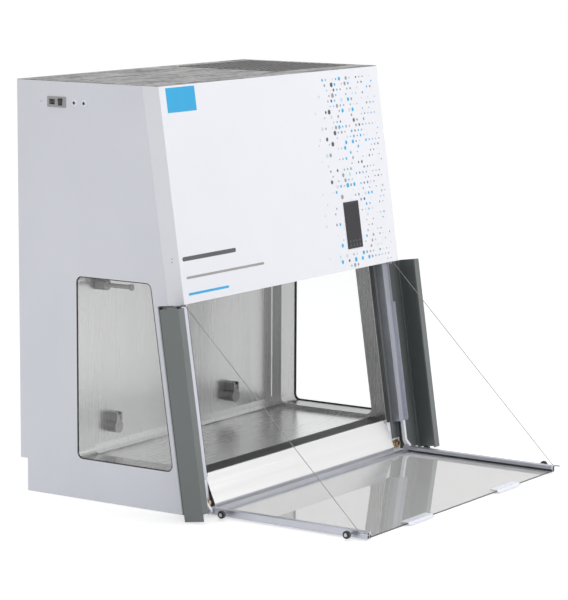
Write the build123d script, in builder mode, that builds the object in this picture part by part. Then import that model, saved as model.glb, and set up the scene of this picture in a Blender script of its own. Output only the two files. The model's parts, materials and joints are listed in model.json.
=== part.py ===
from build123d import *
import os
from math import cos, radians, sin

# Class II biological safety cabinet with a folding, sliding front sash. Millimetres.
# The origin is the middle of the base, on the surface it stands on; -Y is the front, +Z is up.

# Overall size and stance
WIDTH = 1300
HEIGHT = 1380
REAR_Y = 360
FOOT_Y = -355
LEAN = 8.33
KICK_HEIGHT = 110
SHEET = 1.5
GAP = 0.3

# Base pan
BASE_FRONT_Y = -298
BASE_REAR_Y = 330
BASE_WALL = 50
BASE_SHEET = 2

# Working chamber
LINER_INSET = 98
BACK_WALL_Y = 161
WORK_TOP = 121
WORK_REAR_Y = 150
WORK_FRONT_Y = -256
GRILLE_FRONT_Y = -326
SPILL_FLOOR = 75
CEILING_Z = 765
COVE_TOP = 151
COVE_MID = 132

# Side windows
WINDOW_REAR_Y = 118
WINDOW_TOP = 745
WINDOW_SILL = 135
WINDOW_SETBACK = 58.6
WINDOW_RADIUS = 22
GASKET = 3
GLASS = 5

# Front frame, all measured inwards from the cabinet's side and outwards from the slope
STEP_DEPTH = 43
STEP_TOP = 686.2
JAMB_STEP = 26.5
SEAL_WIDTH = 20
SEAL_THICK = 3
SEAL_BOTTOM = 114
SEAL_TOP = 760
GUIDE_INNER = 76
GUIDE_OUTER = 23
GUIDE_THICK = 3.7
GUIDE_BOTTOM = 52
GUIDE_TOP = 1300

# Head
HEAD_DEPTH = 65.3
HEAD_BOTTOM = 685.8
HEAD_LIP = 8.3

# Posts
POST_OUT = 80
POST_WIDTH = 30
POST_REAR = 25
POST_DEPTH = 75
POST_SHEET = 2
POST_LIP = 6
POST_BOTTOM = -2.5
POST_TOP = 680.5
POST_WEB_INSET = 16
POST_NOTCH = 24

# Sash carriage
STILE_OUTER = 22
STILE_INNER = 58
STILE_FRONT = 31
STILE_WALL = 2.5
STILE_BOTTOM = 112
STILE_TOP = 767
STILE_FIN = 36.5
STRIP_THICK = 1.7
STRIP_FRONT = 44.5
STRIP_TOP = 540
ARM_OUTER = 28
ARM_INNER = 40
ARM_REAR = 22
ARM_FRONT = 34
PIVOT_Y = -395
PIVOT_Z = 17.5
PIVOT_RADIUS = 4
PIVOT_PLAY = 0.05

# Sash, as it lies folded down
SASH_BOTTOM = 5
SASH_TOP = 28
SASH_FRONT_Y = -990
RAIL_OUTER = 42
RAIL_INNER = 64
RAIL_REAR_Y = -407
RAIL_WALL = 2.5
PANE_BOTTOM = 6.5
PANE_TOP = 10.5
GLAZING = 7
ROLLER_RADIUS = 13
ROLLER_WIDTH = 10
ROLLER_INSET = 9
ROLLER_Z = 18.5
ROLLER_REAR_Y = -457
ROLLER_FRONT_Y = -933
AXLE_RADIUS = 3.5

# Stay cables
CABLE_RADIUS = 1.2
CABLE_TOP = (19.2, 688.3, 48.2)
CABLE_END_INSET = 28
CABLE_END_Y = -978
CABLE_END_Z = 24

HALF = WIDTH / 2
CHAMBER_HALF = HALF - LINER_INSET
LEAN_SIN = sin(radians(LEAN))
LEAN_COS = cos(radians(LEAN))
SHELL_TOP = HEIGHT - SHEET
LOW = (Align.MIN, Align.MIN, Align.MIN)
MID = (Align.CENTER, Align.MIN, Align.MIN)
CORNER = (Align.MIN, Align.MIN)


def slope_point(x, up, out):
    """Point at a distance up the sloped front and out of it."""
    return (x, FOOT_Y + up * LEAN_SIN - out * LEAN_COS, up * LEAN_COS + out * LEAN_SIN)


def slope_yz(up, out):
    """The same point in a side view."""
    return slope_point(0, up, out)[1:]


def up_at(z, out):
    """Distance up the slope at which a line at this depth has the height z."""
    return (z - out * LEAN_SIN) / LEAN_COS


def on_slope(x, up, out):
    """Plane on the slope: its x is X, its y runs up the slope, its z points out."""
    return Plane(origin=slope_point(x, up, out), x_dir=(1, 0, 0), z_dir=(0, -LEAN_COS, LEAN_SIN))


def across_slope(up):
    """Plane square to the slope, for sections: its x is X, its y points out."""
    return Plane(origin=slope_point(0, up, 0), x_dir=(1, 0, 0), z_dir=(0, -LEAN_SIN, -LEAN_COS))


def left(inset):
    """X of a point that lies this far inwards from the left side."""
    return -HALF + inset


def side_view(x):
    """Plane of a side view at x: its x is Y, its y is Z."""
    return Plane.YZ.offset(x)


def beside_slope(x):
    """Plane of a side view square to the slope: its x runs up the slope, its y points out."""
    return Plane(origin=slope_point(x, 0, 0), x_dir=(0, LEAN_SIN, LEAN_COS), z_dir=(1, 0, 0))


def write(piece, name):
    """Name a finished piece and write it to its own file."""
    piece.part.label = name
    export_step(piece.part, f"parts/{name}.step")


def write_pair(piece, name):
    """Write a left-hand piece and its mirror image on the right."""
    write(piece, "left_" + name)
    with BuildPart() as twin:
        mirror(piece.part, about=Plane.YZ)
    write(twin, "right_" + name)


def write_twins(piece, name):
    """Write a left-hand piece and its mirror image as two solids of one node."""
    with BuildPart() as twins:
        add(piece.part)
        mirror(piece.part, about=Plane.YZ)
    write(twins, name)


os.makedirs("parts", exist_ok=True)

# Base pan: a folded tray that the cabinet stands on
with BuildPart() as base_tray:
    with Locations((0, (BASE_FRONT_Y + BASE_REAR_Y) / 2, 0)):
        Box(WIDTH - 2 * SHEET, BASE_REAR_Y - BASE_FRONT_Y, BASE_WALL, align=(Align.CENTER, Align.CENTER, Align.MIN))
    offset(amount=-BASE_SHEET, openings=base_tray.faces().sort_by(Axis.Z)[-1])
write(base_tray, "base_tray")

# Side window outline: rear upright, front edge parallel to the slope
WINDOW_CORNERS = (
    (WINDOW_REAR_Y, WINDOW_TOP),
    slope_yz(up_at(WINDOW_TOP, -WINDOW_SETBACK), -WINDOW_SETBACK),
    slope_yz(up_at(WINDOW_SILL, -WINDOW_SETBACK), -WINDOW_SETBACK),
    (WINDOW_REAR_Y, WINDOW_SILL),
)


def window_outline(grow):
    """Window outline as a flat face, grown outwards all round."""
    with BuildSketch() as outline:
        with BuildLine():
            Polyline(*WINDOW_CORNERS, close=True)
        make_face()
        offset(amount=grow, kind=Kind.INTERSECTION)
        fillet(outline.vertices(), WINDOW_RADIUS + grow)
    return outline.sketch


# Rear service fittings on the left side
INLET_FRONT_Y = 155
INLET_REAR_Y = 232
INLET_LOW = 1294
INLET_HIGH = 1329
FUSE_Y = (118, 78)
FUSE_RADIUS = 9
SOCKET_WIDTH = 27
SOCKET_HEIGHT = 21
SOCKET_CENTRE_Y = 212
ROCKER_CENTRE_Y = 178
ROCKER_WIDTH = 21
ROCKER_HEIGHT = 26
INLET_Z = (INLET_LOW + INLET_HIGH) / 2
FIT = 0.3

# Side panel: folded painted sheet with a window and flanges on its free edges
FLANGE = 25
with BuildPart() as side_panel:
    with BuildSketch(side_view(-HALF)):
        with BuildLine():
            Polyline(
                (REAR_Y, KICK_HEIGHT),
                (REAR_Y, SHELL_TOP),
                slope_yz(up_at(SHELL_TOP, 0), 0),
                slope_yz(STEP_TOP, 0),
                slope_yz(STEP_TOP, -STEP_DEPTH),
                slope_yz(up_at(0, -STEP_DEPTH), -STEP_DEPTH),
                (BASE_REAR_Y, 0),
                (BASE_REAR_Y, KICK_HEIGHT),
                close=True,
            )
        make_face()
        add(window_outline(0), mode=Mode.SUBTRACT)
    extrude(amount=SHEET)
    with Locations((left(SHEET), REAR_Y - SHEET, KICK_HEIGHT)):
        Box(FLANGE, SHEET, SHELL_TOP - KICK_HEIGHT, align=LOW)
    shoulder_y = slope_yz(up_at(SHELL_TOP, 0), 0)[0]
    with Locations((left(SHEET), shoulder_y, SHELL_TOP - SHEET)):
        Box(FLANGE, REAR_Y - SHEET - shoulder_y, SHEET, align=LOW)
    step_foot = up_at(BASE_WALL + GAP, -STEP_DEPTH - SHEET)
    with Locations(on_slope(left(SHEET), step_foot, -STEP_DEPTH - SHEET)):
        Box(FLANGE, STEP_TOP - step_foot, SHEET, align=LOW)
    head_flange_top = up_at(SHELL_TOP - SHEET, 0)
    with Locations(on_slope(left(SHEET), STEP_TOP, -SHEET)):
        Box(JAMB_STEP - SHEET, head_flange_top - STEP_TOP, SHEET, align=LOW)

with BuildPart() as right_side_panel:
    mirror(side_panel.part, about=Plane.YZ)
write(right_side_panel, "right_side_panel")

with BuildPart() as left_side_panel:
    add(side_panel.part)
    with BuildSketch(side_view(-HALF)):
        with Locations((SOCKET_CENTRE_Y, INLET_Z)):
            Rectangle(SOCKET_WIDTH + 2 * FIT, SOCKET_HEIGHT + 2 * FIT)
        with Locations((ROCKER_CENTRE_Y, INLET_Z)):
            Rectangle(ROCKER_WIDTH + 2 * FIT, ROCKER_HEIGHT + 2 * FIT)
        with Locations(*[(y, INLET_Z) for y in FUSE_Y]):
            Circle(FUSE_RADIUS + FIT)
    extrude(amount=SHEET, mode=Mode.SUBTRACT)
write(left_side_panel, "left_side_panel")

# Window gasket: black profile round the opening, as deep as the pane and the panel
PANE_INSET = 1
GASKET_DEPTH = SHEET + GLASS + 1
with BuildPart() as window_gasket:
    with BuildSketch(side_view(-HALF)):
        add(window_outline(0))
        add(window_outline(-GASKET), mode=Mode.SUBTRACT)
    extrude(amount=GASKET_DEPTH)
write_twins(window_gasket, "window_gaskets")

with BuildPart() as window_pane:
    with BuildSketch(side_view(left(PANE_INSET))):
        add(window_outline(-GASKET))
    extrude(amount=GLASS)
write_twins(window_pane, "window_panes")

# Chamber side liner: polished sheet with a tunnel that lines the way out to the window
TUNNEL_ROOM = 0.5
JAMB_BACK = SHEET
with BuildPart() as side_liner:
    with BuildSketch(side_view(left(LINER_INSET - SHEET))):
        with BuildLine():
            Polyline(
                (BACK_WALL_Y + SHEET, CEILING_Z),
                slope_yz(up_at(CEILING_Z, -JAMB_BACK), -JAMB_BACK),
                slope_yz(up_at(SPILL_FLOOR, -JAMB_BACK), -JAMB_BACK),
                (BACK_WALL_Y + SHEET, SPILL_FLOOR),
                close=True,
            )
        make_face()
        add(window_outline(TUNNEL_ROOM), mode=Mode.SUBTRACT)
    extrude(amount=SHEET)
    with BuildSketch(side_view(left(SHEET))):
        add(window_outline(TUNNEL_ROOM + SHEET))
        add(window_outline(TUNNEL_ROOM), mode=Mode.SUBTRACT)
    extrude(amount=LINER_INSET - SHEET)
write_twins(side_liner, "side_liners")

# Dark perforated strip let into the window sill near the front
SILL_STRIP_INSETS = (25, 57)
SILL_STRIP_Y = (-317, -164)
SILL_STRIP_THICK = 1
SILL_SLOT_PITCH = 9
sill_strip_length = SILL_STRIP_Y[1] - SILL_STRIP_Y[0]
sill_strip_width = SILL_STRIP_INSETS[1] - SILL_STRIP_INSETS[0]

# Rear wall of the chamber, coved into the work surface
with BuildPart() as chamber_back:
    with BuildSketch(side_view(-CHAMBER_HALF)):
        with BuildLine():
            Polyline(
                (BACK_WALL_Y, CEILING_Z),
                (BACK_WALL_Y, COVE_TOP),
                (BACK_WALL_Y - 4, COVE_MID),
                (WORK_REAR_Y + FIT, WORK_TOP),
                (WORK_REAR_Y + FIT, WORK_TOP - SHEET),
                (WORK_REAR_Y + FIT + 1, WORK_TOP - SHEET),
                (BACK_WALL_Y - 4 + SHEET, COVE_MID),
                (BACK_WALL_Y + SHEET, COVE_TOP),
                (BACK_WALL_Y + SHEET, CEILING_Z),
                close=True,
            )
        make_face()
    extrude(amount=2 * CHAMBER_HALF)
write(chamber_back, "chamber_back")

# Work surface: a dished tray with its edges folded down onto the spill tray's ledges
WORK_FOLD = 18
work_depth = WORK_REAR_Y - WORK_FRONT_Y
with BuildPart() as work_surface:
    with Locations((0, WORK_FRONT_Y, WORK_TOP - WORK_FOLD)):
        Box(2 * (CHAMBER_HALF - FIT), work_depth, WORK_FOLD, align=MID)
    offset(amount=-SHEET, openings=work_surface.faces().sort_by(Axis.Z)[0])
write(work_surface, "work_surface")

# Spill tray under the work surface
SPILL_WALL = WORK_TOP - WORK_FOLD - SPILL_FLOOR
with BuildPart() as spill_tray:
    with Locations((0, WORK_FRONT_Y, SPILL_FLOOR)):
        Box(2 * (CHAMBER_HALF - FIT), work_depth, SPILL_WALL, align=MID)
    offset(amount=-SHEET, openings=spill_tray.faces().sort_by(Axis.Z)[-1])
write(spill_tray, "spill_tray")

# Air intake grille in front of the work surface, one row of slots
SLOT_PITCH = 12
SLOT_WIDTH = 5
SLOT_MARGIN = 7
grille_depth = WORK_FRONT_Y - FIT - GRILLE_FRONT_Y
slot_count = int((2 * CHAMBER_HALF - SLOT_PITCH) // SLOT_PITCH)
with BuildPart() as intake_grille:
    with BuildSketch(Plane.XY.offset(WORK_TOP - SHEET)):
        with Locations((0, (GRILLE_FRONT_Y + WORK_FRONT_Y - FIT) / 2)):
            Rectangle(2 * (CHAMBER_HALF - FIT), grille_depth)
            with GridLocations(SLOT_PITCH, 0, slot_count, 1):
                Rectangle(SLOT_WIDTH, grille_depth - 2 * SLOT_MARGIN, mode=Mode.SUBTRACT)
    extrude(amount=SHEET)
    with Locations((0, WORK_FRONT_Y - FIT - SHEET, WORK_TOP - WORK_FOLD)):
        Box(2 * (CHAMBER_HALF - FIT), SHEET, WORK_FOLD - SHEET, align=MID)
write(intake_grille, "intake_grille")

# Front apron: bright folded sheet below the grille, standing out of the slope at its foot
APRON_TOP_Y = -331
APRON_KNEE = (-370, 27)
APRON_FOOT_Z = 4
APRON_LIP = 9
apron_half = CHAMBER_HALF - FIT
with BuildPart() as front_apron:
    with BuildSketch(side_view(-apron_half)):
        with BuildLine() as apron_line:
            Polyline(
                (GRILLE_FRONT_Y - FIT - SHEET / 2, WORK_TOP - APRON_LIP),
                (GRILLE_FRONT_Y - FIT - SHEET / 2, WORK_TOP - SHEET / 2),
                (APRON_TOP_Y, WORK_TOP - SHEET / 2),
                APRON_KNEE,
                (APRON_KNEE[0], APRON_FOOT_Z),
                (BASE_FRONT_Y - SHEET, APRON_FOOT_Z),
            )
            offset(amount=SHEET / 2, side=Side.BOTH, kind=Kind.INTERSECTION)
        make_face()
    extrude(amount=2 * apron_half)
write(front_apron, "front_apron")

# Front jamb: stepped painted sheet from the side panel's flange to the liner's edge
jamb_foot = up_at(0, -STEP_DEPTH + SHEET)
jamb_top = up_at(SHELL_TOP - 2 * SHEET, 0)
with BuildPart() as front_jamb:
    with BuildSketch(across_slope(jamb_top)):
        with Locations((left(SHEET + GAP), -STEP_DEPTH)):
            Rectangle(JAMB_STEP - GAP, SHEET, align=CORNER)
        with Locations((left(JAMB_STEP), -STEP_DEPTH)):
            Rectangle(SHEET, STEP_DEPTH, align=CORNER)
        with Locations((left(JAMB_STEP), -SHEET)):
            Rectangle(LINER_INSET - JAMB_STEP, SHEET, align=CORNER)
    extrude(amount=jamb_top - jamb_foot)
    with BuildSketch(across_slope(jamb_top)):
        with Locations((left(0), -STEP_DEPTH)):
            Rectangle(JAMB_STEP, STEP_DEPTH, align=CORNER)
    extrude(amount=jamb_top - STEP_TOP, mode=Mode.SUBTRACT)
write_twins(front_jamb, "front_jambs")

# Rubber seal strip that the closed sash presses on
with BuildPart() as sash_seal:
    with BuildSketch(across_slope(SEAL_TOP)):
        with Locations((left(LINER_INSET - SEAL_WIDTH), 0)):
            Rectangle(SEAL_WIDTH, SEAL_THICK, align=CORNER)
        with Locations((left(LINER_INSET - SEAL_WIDTH / 2), SEAL_THICK)):
            Circle(SEAL_THICK)
        with Locations((left(LINER_INSET - SEAL_WIDTH / 2), 0)):
            Rectangle(SEAL_WIDTH, SEAL_THICK, align=(Align.CENTER, Align.MAX), mode=Mode.SUBTRACT)
    extrude(amount=SEAL_TOP - SEAL_BOTTOM)
write_twins(sash_seal, "sash_seals")

# Guide plate that the carriage's stile slides on
with BuildPart() as stile_guide:
    with Locations(on_slope(left(JAMB_STEP), GUIDE_BOTTOM, 0)):
        Box(GUIDE_INNER - JAMB_STEP, GUIDE_TOP - GUIDE_BOTTOM, GUIDE_THICK, align=LOW)
write_twins(stile_guide, "stile_guides")

# Outrigger post: rolled channel, open towards the cabinet
with BuildPart() as post:
    with BuildSketch(across_slope(POST_TOP)):
        with BuildLine() as channel_line:
            middle = POST_SHEET / 2
            Polyline(
                (left(POST_WIDTH - POST_OUT - middle), POST_REAR + POST_LIP),
                (left(POST_WIDTH - POST_OUT - middle), POST_REAR + middle),
                (left(middle - POST_OUT), POST_REAR + middle),
                (left(middle - POST_OUT), POST_REAR + POST_DEPTH - middle),
                (left(POST_WIDTH - POST_OUT - middle), POST_REAR + POST_DEPTH - middle),
                (left(POST_WIDTH - POST_OUT - middle), POST_REAR + POST_DEPTH - POST_LIP),
            )
            offset(amount=middle, side=Side.BOTH, kind=Kind.INTERSECTION)
        make_face()
    extrude(amount=POST_TOP - POST_BOTTOM)
with BuildPart() as posts:
    add(post.part)
    mirror(post.part, about=Plane.YZ)
    with Locations(on_slope(left(POST_SHEET - POST_OUT), POST_BOTTOM - 1, POST_REAR + POST_DEPTH - POST_LIP - 1)):
        Box(POST_WIDTH, POST_NOTCH, POST_LIP + POST_SHEET, align=LOW, mode=Mode.SUBTRACT)
write(posts, "posts")

# Mounting plate that carries the post on the side panel's front flange
PLATE_SHEET = 2
with BuildPart() as post_plate:
    with BuildSketch(across_slope(POST_TOP)):
        with Locations((left(POST_WEB_INSET + PLATE_SHEET), POST_REAR)):
            Rectangle(POST_OUT + POST_WEB_INSET, PLATE_SHEET, align=(Align.MAX, Align.MAX))
            Rectangle(PLATE_SHEET, POST_REAR + STEP_DEPTH - SHEET, align=(Align.MAX, Align.MAX))
        with Locations((left(POST_WEB_INSET + PLATE_SHEET), SHEET - STEP_DEPTH)):
            Rectangle(POST_WEB_INSET, PLATE_SHEET, align=(Align.MAX, Align.MIN))
    extrude(amount=POST_TOP - up_at(0, -STEP_DEPTH))
write_twins(post_plate, "post_plates")

# Brass rest at the foot of the jamb: three rounded knuckles on a pad
REST_INSETS = (38, 88)
REST_FOOT = 16
REST_HEIGHT = 30
REST_PAD = 2
REST_DEPTH = 12
REST_KNUCKLES = 3
REST_KNUCKLE_WIDTH = 12
rest_width = REST_INSETS[1] - REST_INSETS[0]
rest_pitch = (rest_width - REST_KNUCKLE_WIDTH) / (REST_KNUCKLES - 1)
with BuildPart() as sash_rest:
    with Locations(on_slope(left(REST_INSETS[0]), REST_FOOT, 0)):
        Box(rest_width, REST_HEIGHT, REST_PAD, align=LOW)
    for knuckle in range(REST_KNUCKLES):
        knuckle_x = left(REST_INSETS[0] + knuckle * rest_pitch)
        with Locations(on_slope(knuckle_x, REST_FOOT + REST_HEIGHT / 4, REST_PAD)):
            Box(REST_KNUCKLE_WIDTH, REST_HEIGHT / 2, REST_DEPTH - REST_PAD, align=LOW)
    fillet(sash_rest.edges().filter_by(Axis.X).group_by(SortBy.LENGTH)[0], REST_PAD)
write_twins(sash_rest, "sash_rests")

# Bulkhead behind the head panel, between the jambs
BULKHEAD_FOOT = 700
with BuildPart() as front_bulkhead:
    with Locations(on_slope(0, BULKHEAD_FOOT, -SHEET)):
        Box(2 * (CHAMBER_HALF - FIT), jamb_top - BULKHEAD_FOOT, SHEET, align=MID)
write(front_bulkhead, "front_bulkhead")

# Head panel: one folded sheet, open at the top and the back, with a lip along its foot
DISPLAY_X = (333, 428)
DISPLAY_UP = (758, 922)
DISPLAY_RIM = 4
DISPLAY_THICK = 1.6
display_width = DISPLAY_X[1] - DISPLAY_X[0]
display_height = DISPLAY_UP[1] - DISPLAY_UP[0]
head_top_back = slope_yz(up_at(SHELL_TOP, GAP), GAP)
head_top_front = slope_yz(up_at(SHELL_TOP, HEAD_DEPTH), HEAD_DEPTH)
head_skin = HEAD_DEPTH - SHEET
head_clear_top = up_at(SHELL_TOP, 0) + 2 * HEAD_DEPTH
with BuildPart() as head_panel:
    with BuildSketch(side_view(-HALF)):
        with BuildLine():
            Polyline(
                slope_yz(HEAD_BOTTOM, GAP),
                slope_yz(HEAD_BOTTOM, HEAD_DEPTH),
                head_top_front,
                head_top_back,
                close=True,
            )
        make_face()
    extrude(amount=WIDTH)
    with Locations(on_slope(left(SHEET), HEAD_BOTTOM + SHEET, -SHEET)):
        Box(WIDTH - 2 * SHEET, head_clear_top - HEAD_BOTTOM, head_skin + SHEET, align=LOW, mode=Mode.SUBTRACT)
    with Locations(on_slope(left(SHEET), HEAD_BOTTOM - SHEET, -SHEET)):
        Box(WIDTH - 2 * SHEET, 3 * SHEET, HEAD_DEPTH - HEAD_LIP + SHEET, align=LOW, mode=Mode.SUBTRACT)
    with Locations(on_slope(DISPLAY_X[0] + DISPLAY_RIM, DISPLAY_UP[0] + DISPLAY_RIM, head_skin - SHEET)):
        Box(display_width - 2 * DISPLAY_RIM, display_height - 2 * DISPLAY_RIM, 3 * SHEET, align=LOW, mode=Mode.SUBTRACT)
write(head_panel, "head_panel")

# Display and keys: a flat black front with its shallow housing let into the head panel
DISPLAY_HOUSING = 7
with BuildPart() as display_panel:
    with Locations(on_slope(DISPLAY_X[0], DISPLAY_UP[0], HEAD_DEPTH)):
        Box(display_width, display_height, DISPLAY_THICK, align=LOW)
    fillet(display_panel.edges().group_by(SortBy.LENGTH)[0], DISPLAY_RIM / 2)
    display_room = DISPLAY_RIM + FIT
    with Locations(on_slope(DISPLAY_X[0] + display_room, DISPLAY_UP[0] + display_room, HEAD_DEPTH - DISPLAY_HOUSING)):
        Box(display_width - 2 * display_room, display_height - 2 * display_room, DISPLAY_HOUSING, align=LOW)
write(display_panel, "display_panel")

# Top sheet with the opening for the exhaust air
EXHAUST_X = (170, 605)
EXHAUST_Y = (-120, 300)
EXHAUST_RIM = 12
exhaust_width = EXHAUST_X[1] - EXHAUST_X[0]
exhaust_depth = EXHAUST_Y[1] - EXHAUST_Y[0]
with BuildPart() as top_panel:
    with Locations((0, head_top_front[0], SHELL_TOP)):
        Box(WIDTH, REAR_Y - head_top_front[0], SHEET, align=MID)
    with Locations((EXHAUST_X[0] + EXHAUST_RIM, EXHAUST_Y[0] + EXHAUST_RIM, SHELL_TOP)):
        Box(exhaust_width - 2 * EXHAUST_RIM, exhaust_depth - 2 * EXHAUST_RIM, SHEET, align=LOW, mode=Mode.SUBTRACT)
write(top_panel, "top_panel")

# Perforated guard over the exhaust opening
EXHAUST_HOLE = 22
EXHAUST_PITCH = 30
EXHAUST_THICK = 1.5
hole_columns = int((exhaust_width - 2 * EXHAUST_RIM) // EXHAUST_PITCH)
hole_rows = int((exhaust_depth - 2 * EXHAUST_RIM) // EXHAUST_PITCH)
with BuildPart() as exhaust_grille:
    with BuildSketch(Plane.XY.offset(HEIGHT)):
        with Locations((sum(EXHAUST_X) / 2, sum(EXHAUST_Y) / 2)):
            Rectangle(exhaust_width, exhaust_depth)
            with GridLocations(EXHAUST_PITCH, EXHAUST_PITCH, hole_columns, hole_rows):
                RegularPolygon(EXHAUST_HOLE / 2, 6, mode=Mode.SUBTRACT)
    extrude(amount=EXHAUST_THICK)
write(exhaust_grille, "exhaust_grille")

# Rear cover: one sheet between the side panels, folded forwards and down under the step
kick_low = BASE_WALL + GAP
with BuildPart() as rear_cover:
    with BuildSketch(side_view(left(SHEET + FIT))):
        with BuildLine():
            Polyline(
                (REAR_Y - SHEET, SHELL_TOP - SHEET),
                (REAR_Y - SHEET, KICK_HEIGHT),
                (BASE_REAR_Y, KICK_HEIGHT),
                (BASE_REAR_Y, kick_low),
                (BASE_REAR_Y - SHEET, kick_low),
                (BASE_REAR_Y - SHEET, KICK_HEIGHT + SHEET),
                (REAR_Y - 2 * SHEET, KICK_HEIGHT + SHEET),
                (REAR_Y - 2 * SHEET, SHELL_TOP - SHEET),
                close=True,
            )
        make_face()
    extrude(amount=WIDTH - 2 * (SHEET + FIT))
write(rear_cover, "rear_cover")

# Ceiling diffuser: perforated sheet that spreads the downflow
DIFFUSER_PITCH = 46
DIFFUSER_HOLE = 30
diffuser_front = slope_yz(up_at(CEILING_Z, -SHEET - GAP), -SHEET - GAP)[0]
diffuser_depth = BACK_WALL_Y - diffuser_front
diffuser_columns = int(2 * CHAMBER_HALF // DIFFUSER_PITCH) - 1
diffuser_rows = int(diffuser_depth // DIFFUSER_PITCH) - 1
with BuildPart() as ceiling_diffuser:
    with BuildSketch(Plane.XY.offset(CEILING_Z)):
        with Locations((0, (diffuser_front + BACK_WALL_Y) / 2)):
            Rectangle(2 * CHAMBER_HALF, diffuser_depth)
            with GridLocations(DIFFUSER_PITCH, DIFFUSER_PITCH, diffuser_columns, diffuser_rows):
                Rectangle(DIFFUSER_HOLE, DIFFUSER_HOLE, mode=Mode.SUBTRACT)
    extrude(amount=SHEET)
write(ceiling_diffuser, "ceiling_diffuser")

# Lamp under the front of the ceiling
LAMP_LENGTH = 900
LAMP_WIDTH = 34
LAMP_HEIGHT = 22
LAMP_Y = -205
with BuildPart() as work_light:
    with BuildSketch(side_view(-LAMP_LENGTH / 2)):
        with Locations((LAMP_Y, CEILING_Z)):
            Rectangle(LAMP_WIDTH, LAMP_HEIGHT / 2, align=(Align.CENTER, Align.MAX))
        with Locations((LAMP_Y, CEILING_Z - LAMP_HEIGHT / 2)):
            Circle(LAMP_HEIGHT / 2)
    extrude(amount=LAMP_LENGTH)
write(work_light, "work_light")

# Supply filter: a frame with its pleated pack, standing on the diffuser
FILTER_HALF = 520
FILTER_FRONT_Y = -215
FILTER_REAR_Y = 150
FILTER_HEIGHT = 90
FILTER_WALL = 15
PLEATS = 26


def pleat_pack(x0, x1, y0, y1, z0, z1, count):
    """Zigzag of filter paper that fills a frame, folded across X."""
    step = (x1 - x0) / count
    low = [(x0 + step * k, z0) for k in range(count + 1)]
    high = [(x0 + step * (k + 0.5), z1) for k in range(count)]
    line = [point for pair in zip(low, high) for point in pair] + [low[-1]]
    with BuildPart() as pack:
        with BuildSketch(Plane.XZ.offset(-y1)):
            with BuildLine():
                Polyline(*line)
                Polyline(line[0], (x0, z0 - 2), (x1, z0 - 2), line[-1])
            make_face()
        extrude(amount=y1 - y0)
    return pack


filter_low = CEILING_Z + SHEET
with BuildPart() as supply_filter_frame:
    with BuildSketch(Plane.XY.offset(filter_low)):
        with Locations((0, (FILTER_FRONT_Y + FILTER_REAR_Y) / 2)):
            Rectangle(2 * FILTER_HALF, FILTER_REAR_Y - FILTER_FRONT_Y)
            Rectangle(
                2 * (FILTER_HALF - FILTER_WALL),
                FILTER_REAR_Y - FILTER_FRONT_Y - 2 * FILTER_WALL,
                mode=Mode.SUBTRACT,
            )
    extrude(amount=FILTER_HEIGHT)
write(supply_filter_frame, "supply_filter_frame")
supply_pleats = pleat_pack(
    FILTER_WALL - FILTER_HALF,
    FILTER_HALF - FILTER_WALL,
    FILTER_FRONT_Y + FILTER_WALL,
    FILTER_REAR_Y - FILTER_WALL,
    filter_low + FILTER_WALL,
    filter_low + FILTER_HEIGHT - FILTER_WALL,
    PLEATS,
)

# Pressure plenum above the supply filter, with a ledge over the filter's front edge
PLENUM_TOP = 1255
PLENUM_FRONT_Y = -150
plenum_low = filter_low + FILTER_HEIGHT
FAN_X = -230
FAN_Y = -5
INLET_RADIUS = 85
EXHAUST_FILTER_HEIGHT = 88
exhaust_middle = (sum(EXHAUST_X) / 2, sum(EXHAUST_Y) / 2)
EXHAUST_FILTER_X = (190, 510)
EXHAUST_FILTER_Y = (-140, 140)
exhaust_filter_size = (EXHAUST_FILTER_X[1] - EXHAUST_FILTER_X[0], EXHAUST_FILTER_Y[1] - EXHAUST_FILTER_Y[0])
exhaust_filter_middle = (sum(EXHAUST_FILTER_X) / 2, sum(EXHAUST_FILTER_Y) / 2)
with BuildPart() as plenum:
    with Locations((0, PLENUM_FRONT_Y, plenum_low)):
        Box(2 * FILTER_HALF, FILTER_REAR_Y - PLENUM_FRONT_Y, PLENUM_TOP - plenum_low, align=MID)
    offset(amount=-SHEET, openings=plenum.faces().sort_by(Axis.Z)[0])
    with BuildSketch(Plane.XY.offset(PLENUM_TOP - SHEET)):
        with Locations((FAN_X, FAN_Y)):
            Circle(INLET_RADIUS)
        with Locations(exhaust_filter_middle):
            Rectangle(exhaust_filter_size[0] - 2 * FILTER_WALL, exhaust_filter_size[1] - 2 * FILTER_WALL)
    extrude(amount=SHEET, mode=Mode.SUBTRACT)
    with Locations((0, FILTER_FRONT_Y, plenum_low)):
        Box(2 * FILTER_HALF, PLENUM_FRONT_Y - FILTER_FRONT_Y, SHEET, align=MID)
write(plenum, "plenum")

# Exhaust filter on top of the plenum
with BuildPart() as exhaust_filter_frame:
    with BuildSketch(Plane.XY.offset(PLENUM_TOP)):
        with Locations(exhaust_filter_middle):
            Rectangle(*exhaust_filter_size)
            Rectangle(exhaust_filter_size[0] - 2 * FILTER_WALL, exhaust_filter_size[1] - 2 * FILTER_WALL, mode=Mode.SUBTRACT)
    extrude(amount=EXHAUST_FILTER_HEIGHT)
write(exhaust_filter_frame, "exhaust_filter_frame")
exhaust_pleats = pleat_pack(
    EXHAUST_FILTER_X[0] + FILTER_WALL,
    EXHAUST_FILTER_X[1] - FILTER_WALL,
    EXHAUST_FILTER_Y[0] + FILTER_WALL,
    EXHAUST_FILTER_Y[1] - FILTER_WALL,
    PLENUM_TOP + FILTER_WALL,
    PLENUM_TOP + EXHAUST_FILTER_HEIGHT - FILTER_WALL,
    10,
)
with BuildPart() as filter_pleats:
    add(supply_pleats.part)
    add(exhaust_pleats.part)
write(filter_pleats, "filter_pleats")

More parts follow.
